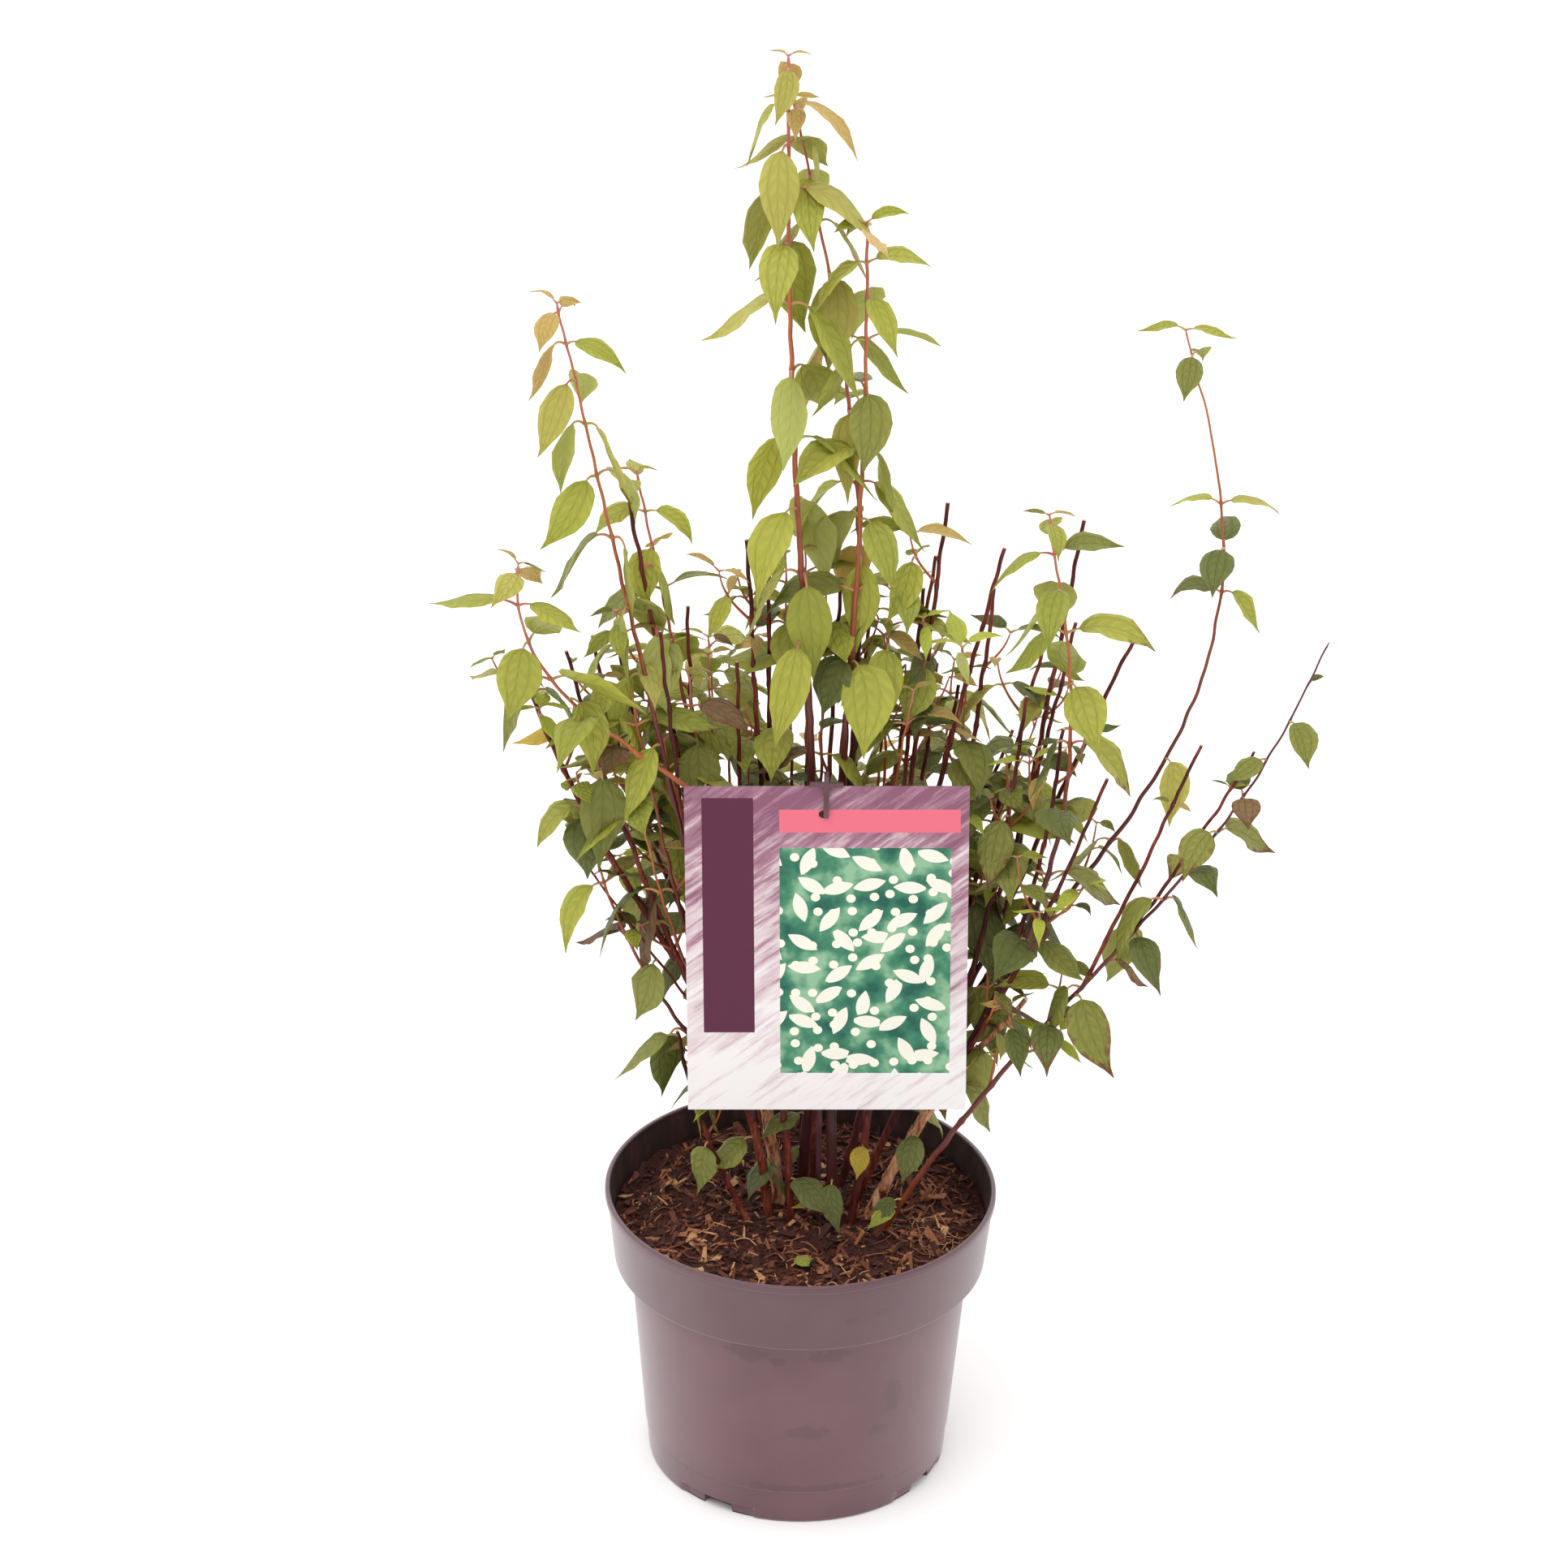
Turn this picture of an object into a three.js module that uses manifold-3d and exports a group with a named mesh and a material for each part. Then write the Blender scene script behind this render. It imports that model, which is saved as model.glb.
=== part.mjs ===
import * as THREE from "three";
import Module from "manifold-3d";
import { mergeVertices } from "three/addons/utils/BufferGeometryUtils.js";

// Potted mock orange: a many-stemmed shrub in a round nursery pot, with a
// hanging card. Millimetres, +Z up, pot axis on Z, underside of the pot at Z = 0,
// the card faces -Y.

const GAP = 0.35;

// Pot
const POT_HEIGHT = 147.2;
const LIP_RADIUS = 95;
const LIP_BEAD_HEIGHT = 3.2;
const LIP_WIDTH = 2.8;
const LIP_ROUND = 0.8;
const LIP_STEP = 0.6;
const COLLAR_TOP_RADIUS = 94.2;
const COLLAR_LOW_RADIUS = 90.4;
const COLLAR_LOW_Z = 111;
const BODY_TOP_RADIUS = 82.6;
const BODY_LOW_RADIUS = 73.2;
const BASE_EDGE_RADIUS = 71.4;
const BASE_EDGE_HEIGHT = 2.4;
const WALL = 1.5;
const FLOOR = 2;
const POT_SIDES = 48;
const NOTCHES = 4;
const NOTCH_FIRST_ANGLE = 238;
const NOTCH_WIDTH = 15.5;
const NOTCH_DEPTH = 6;
const NOTCH_HEIGHT = 4.5;

// Soil
const SOIL_TOP = 131;
const SOIL_EDGE_DROP = 1.6;
const SOIL_EDGE_WIDTH = 9;

// Hanging card and its holder
const CARD_WIDTH = 132;
const CARD_HEIGHT = 172;
const CARD_THICKNESS = 0.6;
const CARD_CENTRE = [10.2, -30, 293];
const CARD_TILT = -1;
const CARD_HOLE_RADIUS = 2.1;
const CARD_HOLE_DROP = 14.5;
const CARD_HOLE_SHIFT = -1.6;
const HOLDER_WIDTH = 2.4;
const HOLDER_THICKNESS = 1.6;
const HOLDER_STEM_Y = -27.6;
const HOLDER_FOOT_Y = 5;
const HOLDER_RISE = 6;
const HOLDER_BAR_LENGTH = 15.5;
const HOLDER_BAR_HEIGHT = 2.2;
const HOLDER_BAR_ABOVE_CARD = 0.4;
const HOLDER_HOOK_BELOW_HOLE = 1.2;

// Limbs: each tapers from its foot, [right, back] or [right, back, up], to its
// tip. Its middle bows by "bow" and its two halves sway opposite ways by "sway",
// both [right, back]. "span" is the stretch of it that shows between leaf
// masses, and "keep" tells which end stays where a mass cuts it.
const LIMB_SIDES = 9;
const LIMB_STATIONS = 6;
const FOOT = SOIL_TOP - 4;
const LOW_RIGHT = { foot: [38, -14], tip: [234, -46, 464], bow: [8, -4], sway: [-8, 0], radii: [2.8, 0.8] };
const WAND = { foot: [72, 14, 235], tip: [168, 28, 585], bow: [62, 4], radii: [2.2, 0.9] };
const LIMBS = {
  cane_main: { foot: [0, 14], tip: [5, 10, 420], radii: [3.2, 2.4], keep: "foot" },
  cane_second: { foot: [16, -4], tip: [34, 12, 420], radii: [3, 2.2], keep: "foot" },
  cane_left_old: { foot: [-15, -2], tip: [-98, -10, 336], bow: [12, 0], radii: [2.6, 2], keep: "foot" },
  cane_left_tan: { foot: [-10, 8], tip: [-72, 16, 330], bow: [14, 2], radii: [3.2, 2.3], keep: "foot" },
  cane_left_low: { foot: [-23, -9], tip: [-60, -15, 240], bow: [-5, 0], radii: [2.2, 1.5], keep: "foot" },
  cane_low_right: { ...LOW_RIGHT, span: [0, 0.24], keep: "foot" },
  cane_right_tan: { foot: [32, -2], tip: [104, -6, 262], bow: [-8, 0], radii: [3.4, 2.3], keep: "foot" },
  cane_right_dark: { foot: [26, 12], tip: [118, 10, 300], bow: [-12, 2], radii: [3, 2.2], keep: "foot" },
  cane_back_left: { foot: [-9, 22], tip: [-58, 72, 330], radii: [3, 2.1], keep: "foot" },
  cane_back: { foot: [6, 26], tip: [8, 84, 330], radii: [3, 2.1], keep: "foot" },
  cane_back_right: { foot: [18, 22], tip: [78, 70, 330], radii: [3, 2.1], keep: "foot" },
  bough_low_right: { ...LOW_RIGHT, span: [0.245, 0.6], keep: "foot" },
  bough_low_right_tip: { ...LOW_RIGHT, span: [0.75, 1], keep: "tip" },
  bough_side_inner: { foot: [162, -30, 330], tip: [180, -30, 404], radii: [1.7, 1.3], keep: "tip" },
  bough_side_outer: { foot: [184, -38, 354], tip: [204, -38, 404], radii: [1.5, 1.1], keep: "tip" },
  bough_wand_lower: { ...WAND, span: [0.3, 0.57], keep: "foot" },
  bough_wand_upper: { ...WAND, span: [0.8, 0.95], keep: "foot" },
  bough_torn_top: { foot: [126, 2, 350], tip: [150, 2, 446], radii: [1.7, 1.4], keep: "tip" },
  bough_dark_right: { foot: [108, 14, 400], tip: [124, 14, 494], radii: [1.6, 1.2], keep: "tip" },
  bough_dark_centre: { foot: [78, 14, 380], tip: [84, 14, 460], radii: [1.6, 1.3], keep: "tip" },
};

// Limbs that pass through leaf masses, which leave room for them.
const PASSING_LIMBS = ["bough_low_right", "bough_wand_lower"];

// Leaf masses: each an uneven closed body from a low place to a high one, as
// wide as "half" to each side over most of its length and rounded off at both
// ends, with "depth" its front-to-back share where it isn't the usual one.
// Earlier ones are whole; later ones are cut back from them.
const MASS_SIDES = 12;
const MASS_RINGS = 9;
const MASS_UNEVEN = 0.16;
const MASS_END = 4;
const MASS_BLUNT = 3;
const MASS_DEPTH = 0.9;
const MASSES = {
  leaves_spire_main: { low: [-6, -14, 452], high: [-14, -6, 733], bow: [-2, -3], half: 28, seed: 11 },
  leaves_spire_second: { low: [32, -2, 468], high: [25, -8, 656], half: 21, seed: 23 },
  leaves_spire_left: { low: [-94, -26, 496], high: [-115, -24, 622], half: 19, seed: 31 },
  leaves_spray_left: { low: [-118, -22, 396], high: [-132, -24, 492], half: 34, depth: 0.85, seed: 43 },
  leaves_spire_right: { low: [118, -22, 366], high: [106, -28, 520], half: 33, depth: 0.85, seed: 59 },
  leaves_wand_tip: { low: [168, 28, 560], high: [168, 28, 596], half: 25, depth: 0.7, seed: 61 },
  leaves_wand_middle: { low: [184, 26, 438], high: [180, 28, 520], bow: [3, 0], half: 14, seed: 67 },
  leaves_wand_low: { low: [164, -40, 292], high: [200, -44, 392], half: 27, seed: 71 },
  leaves_low_right: {
    low: [84, -34, 200], high: [144, -40, 226], bow: [-4, 0], half: 15, depth: 0.7, seed: 73,
  },
  leaves_low_left: { low: [-81, -20, 206], high: [-74, -18, 264], half: 17, seed: 79 },
  leaves_left: { low: [-88, -10, 276], high: [-108, -8, 374], half: 27, seed: 83 },
  leaves_right_low: { low: [112, -8, 222], high: [120, -6, 300], half: 38, seed: 89 },
  leaves_right_middle: { low: [110, 16, 296], high: [106, 14, 392], half: 42, seed: 97 },
  leaves_centre_left: { low: [-62, 8, 318], high: [-76, 8, 510], bow: [3, -2], half: 35, seed: 101 },
  leaves_centre: { low: [2, 14, 330], high: [2, 10, 470], half: 41, depth: 0.85, seed: 103 },
  leaves_centre_right: { low: [60, 16, 320], high: [52, 24, 478], half: 29, seed: 107 },
  leaves_back_left: {
    low: [-62, 74, 262], high: [-58, 92, 404], bow: [-5, 4], half: 46, depth: 0.85, seed: 109,
  },
  leaves_back: { low: [8, 84, 258], high: [6, 104, 416], bow: [0, 6], half: 43, depth: 0.85, seed: 113 },
  leaves_back_right: {
    low: [78, 72, 256], high: [78, 88, 396], bow: [6, 4], half: 45, depth: 0.85, seed: 127,
  },
};
// Room kept free of leaves round the card, seen from the front.
const CARD_ROOM = { low: [-64, -200, 198], high: [86, -21, 392] };

const COLOURS = {
  pot: 0x7b5c62,
  soil: 0x3a241b,
  card: 0xe9e4e4,
  holder: 0x3f2634,
  bark: 0x5a3a30,
  leaves: 0x6f8a35,
};

const wasm = await Module();
wasm.setup();

// Closed geometry to a boolean solid.
function toSolid(geometry) {
  const bare = geometry.clone();
  bare.deleteAttribute("normal");
  bare.deleteAttribute("uv");
  const merged = mergeVertices(bare, 1e-4);
  return new wasm.Manifold(new wasm.Mesh({
    numProp: 3,
    vertProperties: new Float32Array(merged.attributes.position.array),
    triVerts: new Uint32Array(merged.index.array),
  }));
}

function toMesh(solid, name, colour, roughness) {
  const data = solid.getMesh();
  const geometry = new THREE.BufferGeometry();
  geometry.setAttribute("position", new THREE.BufferAttribute(new Float32Array(data.vertProperties), 3));
  geometry.setIndex(new THREE.BufferAttribute(new Uint32Array(data.triVerts), 1));
  geometry.computeVertexNormals();
  const material = new THREE.MeshStandardMaterial({ color: colour, roughness, metalness: 0 });
  const mesh = new THREE.Mesh(geometry, material);
  mesh.name = name;
  return mesh;
}

function box(low, high) {
  const size = high.map((value, i) => value - low[i]);
  const geometry = new THREE.BoxGeometry(...size);
  geometry.translate(...low.map((value, i) => value + size[i] / 2));
  return toSolid(geometry);
}

function turned(profile, sides) {
  const geometry = new THREE.LatheGeometry(profile.map(([r, z]) => new THREE.Vector2(r, z)), sides);
  geometry.rotateX(Math.PI / 2);
  return toSolid(geometry);
}

// The same random numbers each run, from a linear congruential generator.
function randomFrom(seed) {
  const [multiplier, increment, modulus] = [1664525, 1013904223, 2 ** 32];
  let state = seed;
  return () => {
    state = (state * multiplier + increment) % modulus;
    return state / modulus;
  };
}

// The place at a share of the way along a bowed and swaying line.
function alongLine(from, to, bow, sway, u) {
  const out = Math.sin(Math.PI * u);
  const over = Math.sin(2 * Math.PI * u);
  const flat = [0, 1].map((i) => from[i] + (to[i] - from[i]) * u + bow[i] * out + sway[i] * over);
  return new THREE.Vector3(...flat, from[2] + (to[2] - from[2]) * u);
}

// Rings of points round a smooth line, closed at both ends by one point.
function loft(places, stations, sides, halfAt) {
  const line = new THREE.CatmullRomCurve3(places);
  const ends = [line.getPoint(0), line.getPoint(1)];
  const vertices = [ends[0].x, ends[0].y, ends[0].z];
  const faces = [];
  for (let i = 0; i < stations; i += 1) {
    const u = i / (stations - 1);
    const centre = line.getPointAt(u);
    const along = line.getTangentAt(u);
    const across = new THREE.Vector3(0, 1, 0).cross(along).normalize();
    const inward = along.clone().cross(across).normalize();
    for (let j = 0; j < sides; j += 1) {
      const angle = (2 * Math.PI * j) / sides;
      const [wide, deep] = halfAt(u, i, j, angle);
      const point = centre.clone();
      point.addScaledVector(across, wide * Math.cos(angle));
      point.addScaledVector(inward, deep * Math.sin(angle));
      vertices.push(point.x, point.y, point.z);
    }
  }
  vertices.push(ends[1].x, ends[1].y, ends[1].z);
  const last = vertices.length / 3 - 1;
  for (let j = 0; j < sides; j += 1) {
    const next = (j + 1) % sides;
    faces.push(0, 1 + next, 1 + j);
    faces.push(last, last - sides + j, last - sides + next);
    for (let i = 0; i < stations - 1; i += 1) {
      const low = 1 + i * sides;
      const high = low + sides;
      faces.push(low + j, low + next, high + next, low + j, high + next, high + j);
    }
  }
  const geometry = new THREE.BufferGeometry();
  geometry.setAttribute("position", new THREE.BufferAttribute(new Float32Array(vertices), 3));
  geometry.setIndex(faces);
  return toSolid(geometry);
}

function limbSolid(limb, extra) {
  const { foot, tip, bow = [0, 0], sway = [0, 0], span = [0, 1], radii } = limb;
  const from = [foot[0], foot[1], foot[2] ?? FOOT];
  const shareAt = (u) => span[0] + (span[1] - span[0]) * u;
  const places = [0, 0.25, 0.5, 0.75, 1].map((u) => alongLine(from, tip, bow, sway, shareAt(u)));
  return loft(places, LIMB_STATIONS, LIMB_SIDES, (u) => {
    const half = radii[0] + (radii[1] - radii[0]) * shareAt(u) + extra;
    return [half, half];
  });
}

function massSolid(mass, extra) {
  const { low, high, bow = [0, 0], half, depth = MASS_DEPTH, seed } = mass;
  const random = randomFrom(seed);
  const lean = random() * Math.PI;
  const places = [0, 0.5, 1].map((u) => alongLine(low, high, bow, [0, 0], u));
  return loft(places, MASS_RINGS, MASS_SIDES, (u, i, j, angle) => {
    const lobes = Math.sin(3 * angle + lean + 5 * u) * MASS_UNEVEN * 0.5;
    const uneven = 1 + lobes + (random() - 0.5) * 2 * MASS_UNEVEN;
    const round = 1 - Math.abs(2 * u - 1) ** MASS_BLUNT;
    const wide = Math.max(MASS_END, half * round) * uneven;
    return [wide + extra, wide * depth + extra];
  });
}

// The one body of a cut solid that holds its largest part, or its low or high end.
function oneBody(solid, keep) {
  const parts = solid.decompose();
  const rank = {
    foot: (part) => -part.boundingBox().min[2],
    tip: (part) => part.boundingBox().max[2],
    whole: (part) => part.volume(),
  }[keep];
  return parts.reduce((best, part) => (rank(part) > rank(best) ? part : best));
}

function potSolid() {
  const wallTop = COLLAR_TOP_RADIUS - WALL;
  const solid = turned([
    [0, 0],
    [BASE_EDGE_RADIUS, 0],
    [BODY_LOW_RADIUS, BASE_EDGE_HEIGHT],
    [BODY_TOP_RADIUS, COLLAR_LOW_Z - 1],
    [COLLAR_LOW_RADIUS, COLLAR_LOW_Z],
    [COLLAR_TOP_RADIUS, POT_HEIGHT - LIP_BEAD_HEIGHT],
    [LIP_RADIUS, POT_HEIGHT - LIP_BEAD_HEIGHT + LIP_STEP],
    [LIP_RADIUS, POT_HEIGHT - LIP_ROUND],
    [LIP_RADIUS - LIP_ROUND, POT_HEIGHT],
    [LIP_RADIUS - LIP_WIDTH, POT_HEIGHT],
    [wallTop, POT_HEIGHT - LIP_BEAD_HEIGHT],
    [COLLAR_LOW_RADIUS - WALL, COLLAR_LOW_Z + WALL],
    [BODY_TOP_RADIUS - WALL, COLLAR_LOW_Z],
    [BODY_LOW_RADIUS - WALL, FLOOR],
    [0, FLOOR],
  ], POT_SIDES);
  let cut = solid;
  for (let i = 0; i < NOTCHES; i += 1) {
    const notch = new THREE.BoxGeometry(NOTCH_DEPTH * 2, NOTCH_WIDTH, NOTCH_HEIGHT * 2);
    notch.translate(BODY_LOW_RADIUS, 0, 0);
    notch.rotateZ(THREE.MathUtils.degToRad(NOTCH_FIRST_ANGLE + (i * 360) / NOTCHES));
    cut = cut.subtract(toSolid(notch));
  }
  return cut;
}

function soilSolid() {
  const inner = BODY_LOW_RADIUS - WALL - GAP;
  const edgeShare = (SOIL_TOP - COLLAR_LOW_Z) / (POT_HEIGHT - LIP_BEAD_HEIGHT - COLLAR_LOW_Z);
  const edge = COLLAR_LOW_RADIUS - WALL - GAP + (COLLAR_TOP_RADIUS - COLLAR_LOW_RADIUS) * edgeShare - GAP;
  return turned([
    [0, NOTCH_HEIGHT + GAP],
    [inner - NOTCH_DEPTH, NOTCH_HEIGHT + GAP],
    [inner, NOTCH_HEIGHT + 3],
    [BODY_TOP_RADIUS - WALL - 2 * GAP, COLLAR_LOW_Z - 1],
    [BODY_TOP_RADIUS - WALL - 2 * GAP, COLLAR_LOW_Z + WALL + 2 * GAP],
    [COLLAR_LOW_RADIUS - WALL - 2 * GAP, COLLAR_LOW_Z + WALL + 2 * GAP],
    [edge, SOIL_TOP - SOIL_EDGE_DROP],
    [edge - SOIL_EDGE_WIDTH, SOIL_TOP],
    [0, SOIL_TOP],
  ], POT_SIDES);
}

function cardPlaced(geometry) {
  geometry.rotateY(THREE.MathUtils.degToRad(CARD_TILT));
  geometry.translate(...CARD_CENTRE);
  return toSolid(geometry);
}

function cardSolid() {
  const hole = new THREE.CylinderGeometry(CARD_HOLE_RADIUS, CARD_HOLE_RADIUS, CARD_THICKNESS * 4, 20);
  hole.translate(CARD_HOLE_SHIFT, 0, CARD_HEIGHT / 2 - CARD_HOLE_DROP);
  const sheet = new THREE.BoxGeometry(CARD_WIDTH, CARD_THICKNESS, CARD_HEIGHT);
  return cardPlaced(sheet).subtract(cardPlaced(hole));
}

// A flat stem that leans forward from among the canes to the card's back, a bar
// across the card's top edge and a hook that comes over the top and down in
// front, its tip in the hole.
function holderSolid() {
  const [cardX, cardY, cardZ] = CARD_CENTRE;
  const x = cardX + CARD_HOLE_SHIFT;
  const top = cardZ + CARD_HEIGHT / 2;
  const hole = top - CARD_HOLE_DROP;
  const front = cardY - CARD_THICKNESS / 2 - GAP;
  const outside = front - HOLDER_THICKNESS;
  const back = HOLDER_STEM_Y + HOLDER_THICKNESS / 2;
  const crest = top + HOLDER_RISE;
  const barLow = top + HOLDER_BAR_ABOVE_CARD;
  const strip = (width, [nearY, farY], [lowZ, highZ]) => {
    const half = width / 2;
    return box([x - half, nearY, lowZ], [x + half, farY, highZ]);
  };
  const stemEnd = (y, z) => {
    const depth = [y - HOLDER_THICKNESS / 2, y + HOLDER_THICKNESS / 2];
    return strip(HOLDER_WIDTH, depth, [z - HOLDER_THICKNESS, z]);
  };
  const stem = wasm.Manifold.hull([
    stemEnd(HOLDER_FOOT_Y, SOIL_TOP + GAP + HOLDER_THICKNESS),
    stemEnd(HOLDER_STEM_Y, crest),
  ]);
  const over = strip(HOLDER_WIDTH, [outside, back], [crest - HOLDER_THICKNESS, crest]);
  const hook = strip(HOLDER_WIDTH, [outside, front], [hole - HOLDER_HOOK_BELOW_HOLE, crest]);
  const bar = strip(HOLDER_BAR_LENGTH, [outside, front], [barLow, barLow + HOLDER_BAR_HEIGHT]);
  return stem.add(over).add(hook).add(bar);
}

function build() {
  const root = new THREE.Group();
  root.name = "potted_mock_orange";
  root.add(toMesh(potSolid(), "pot", COLOURS.pot, 0.6));
  root.add(toMesh(soilSolid(), "soil", COLOURS.soil, 0.95));
  root.add(toMesh(cardSolid(), "label_card", COLOURS.card, 0.5));
  root.add(toMesh(holderSolid(), "label_holder", COLOURS.holder, 0.5));

  const cardRoom = box(CARD_ROOM.low, CARD_ROOM.high);
  const soilRoom = box([-LIP_RADIUS, -LIP_RADIUS, 0], [LIP_RADIUS, LIP_RADIUS, SOIL_TOP + GAP]);
  const grown = [];
  const limbRooms = PASSING_LIMBS.map((name) => limbSolid(LIMBS[name], GAP));
  for (const [name, mass] of Object.entries(MASSES)) {
    let solid = massSolid(mass, 0).subtract(cardRoom);
    for (const other of [...grown, ...limbRooms]) solid = solid.subtract(other);
    root.add(toMesh(oneBody(solid, "whole"), name, COLOURS.leaves, 0.7));
    grown.push(massSolid(mass, GAP));
  }
  for (const [name, limb] of Object.entries(LIMBS)) {
    let solid = limbSolid(limb, 0).subtract(soilRoom);
    const masses = PASSING_LIMBS.includes(name) ? [] : grown;
    for (const other of masses) solid = solid.subtract(other);
    root.add(toMesh(oneBody(solid, limb.keep), name, COLOURS.bark, 0.8));
  }
  return root;
}

export default build();
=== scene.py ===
import math
import random

import bpy
import numpy as np
from mathutils import Matrix, Vector, noise


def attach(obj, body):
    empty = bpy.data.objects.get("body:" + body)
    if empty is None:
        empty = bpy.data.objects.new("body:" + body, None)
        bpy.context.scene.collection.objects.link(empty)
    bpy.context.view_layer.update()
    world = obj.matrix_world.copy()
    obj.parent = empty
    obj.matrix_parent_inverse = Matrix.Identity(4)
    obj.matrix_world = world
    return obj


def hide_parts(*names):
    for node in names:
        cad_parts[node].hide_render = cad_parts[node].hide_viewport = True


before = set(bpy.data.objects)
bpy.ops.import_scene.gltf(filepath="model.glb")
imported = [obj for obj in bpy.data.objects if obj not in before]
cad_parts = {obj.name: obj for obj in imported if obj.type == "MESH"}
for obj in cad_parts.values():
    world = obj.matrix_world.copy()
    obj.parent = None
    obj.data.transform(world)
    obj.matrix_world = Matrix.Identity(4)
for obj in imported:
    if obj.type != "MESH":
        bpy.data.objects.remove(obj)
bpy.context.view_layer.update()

# ---------------------------------------------------------------------------
# Nursery pot. A thin-walled round pot, injection-moulded in matt mauve-brown
# polypropylene, with a deep stacking collar, a beaded lip and drain notches
# round the foot. It stands loose on its flat underside.

MM = 0.001
POT_SIDES = 160
POT_CORNERS = [  # radius, height and rounding of each, from the foot up, over the lip and down inside
    (68.0, 0.0, 0), (73.0, 0.0, 1.6), (73.5, 5.6, 0), (73.6, 6.2, 0), (74.5, 18.0, 0.3), (75.0, 18.4, 0.3),
    (82.7, 109.7, 1.2), (90.3, 109.7, 1.1), (93.9, 143.2, 0.5), (95.0, 143.8, 0.5), (95.0, 147.2, 1.0),
    (92.4, 147.2, 0.8), (92.4, 144.4, 0.4), (88.8, 111.3, 0.8), (81.2, 111.3, 1.2), (70.4, 2.0, 1.0),
    (60.0, 2.0, 0),
]
CORNER_STEPS = 4
POT_SHARP_DEG = 32
NOTCHES = 4
NOTCH_FIRST_DEG = 238
NOTCH_SIZE = (12.0, 15.5, 9.0)
RECESS_HALF_DEG = 15.5
RECESS_DEEP = 1.4
RECESS_TOP = 5.9
RECESS_INSIDE = 1.0


def to_linear(code):
    """An sRGB hex colour as the linear colour that the shader takes."""
    parts = [int(code[i:i + 2], 16) / 255 for i in (1, 3, 5)]
    return [p / 12.92 if p <= 0.04045 else ((p + 0.055) / 1.055) ** 2.4 for p in parts] + [1.0]


def feed(socket, source):
    """Sets an input to a number or a hex colour, or links it to an output or to a node's result."""
    if isinstance(source, bpy.types.Node):
        source = next(output for output in source.outputs if output.enabled)
    if isinstance(source, bpy.types.NodeSocket):
        socket.id_data.links.new(source, socket)
    else:
        socket.default_value = to_linear(source) if isinstance(source, str) else source


def add_node(tree, kind, settings=None, *inputs, **links):
    """One shader node with its settings, its first inputs in order and others by name.

    "_" in a name is a space, and "stops" are a colour ramp's (position, colour) pairs.
    """
    made = tree.nodes.new("ShaderNode" + kind)
    for key, value in (settings or {}).items():
        if key != "stops":
            setattr(made, key, value)
            continue
        band = made.color_ramp.elements
        while len(band) < len(value):
            band.new(0.5)
        for element, (position, code) in zip(band, value):
            element.position = position
            element.color = to_linear(code)
    live = [socket for socket in made.inputs if socket.enabled]
    named = {socket.name: socket for socket in reversed(live)}
    for socket, value in zip(live, inputs):
        feed(socket, value)
    for key, value in links.items():
        feed(named[key.replace("_", " ")], value)
    return made


def new_material(name, **shader):
    """A Principled material; returns it, its tree, its shader and the place on the piece in metres."""
    made = bpy.data.materials.new(name)
    made.use_nodes = True
    tree = made.node_tree
    principled = tree.nodes["Principled BSDF"]
    for key, value in shader.items():
        feed(principled.inputs[key.replace("_", " ")], value)
    return made, tree, principled, add_node(tree, "TexCoord").outputs["Object"]


def start_edit(piece):
    bpy.ops.object.select_all(action="DESELECT")
    bpy.context.view_layer.objects.active = piece
    piece.select_set(True)
    bpy.ops.object.mode_set(mode="EDIT")


def end_edit():
    bpy.ops.object.mode_set(mode="OBJECT")


def turned(name, profile, sides):
    """A closed turned body: a disc drawn up, out and in along (radius, height) steps in mm."""
    bpy.ops.object.select_all(action="DESELECT")
    radius, height = profile[0]
    bpy.ops.mesh.primitive_circle_add(vertices=sides, radius=radius * MM, fill_type="NGON",
                                      location=(0, 0, height * MM))
    piece = bpy.context.object
    piece.name = name
    bpy.ops.object.transform_apply(location=True, rotation=False, scale=False)
    start_edit(piece)
    bpy.ops.mesh.select_all(action="SELECT")
    for next_radius, next_height in profile[1:]:
        lift = (0, 0, (next_height - height) * MM)
        bpy.ops.mesh.extrude_region_move(TRANSFORM_OT_translate={"value": lift})
        grow = next_radius / radius
        bpy.ops.transform.resize(value=(grow, grow, 1), center_override=(0, 0, 0))
        radius, height = next_radius, next_height
    bpy.ops.mesh.select_all(action="SELECT")
    bpy.ops.mesh.normals_make_consistent(inside=False)
    end_edit()
    return piece


def rounded(corners):
    """A turned outline through (radius, height, rounding) corners, each rounded by an arc."""
    spots = [Vector(corner[:2]) for corner in corners]
    outline = [tuple(spots[0])]
    for before, spot, after, corner in zip(spots, spots[1:], spots[2:], corners[1:]):
        if not corner[2]:
            outline.append(tuple(spot))
            continue
        back, ahead = (before - spot).normalized(), (after - spot).normalized()
        half = back.angle(ahead) / 2
        middle = spot + (back + ahead).normalized() * corner[2] / math.sin(half)
        first = spot + back * corner[2] / math.tan(half) - middle
        last = spot + ahead * corner[2] / math.tan(half) - middle
        for step in range(CORNER_STEPS + 1):
            outline.append(tuple(middle + first.lerp(last, step / CORNER_STEPS).normalized() * corner[2]))
    return outline + [tuple(spots[-1])]


def finish_smooth(piece, degrees):
    bpy.ops.object.select_all(action="DESELECT")
    bpy.context.view_layer.objects.active = piece
    piece.select_set(True)
    bpy.ops.object.shade_smooth_by_angle(angle=math.radians(degrees))


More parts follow.
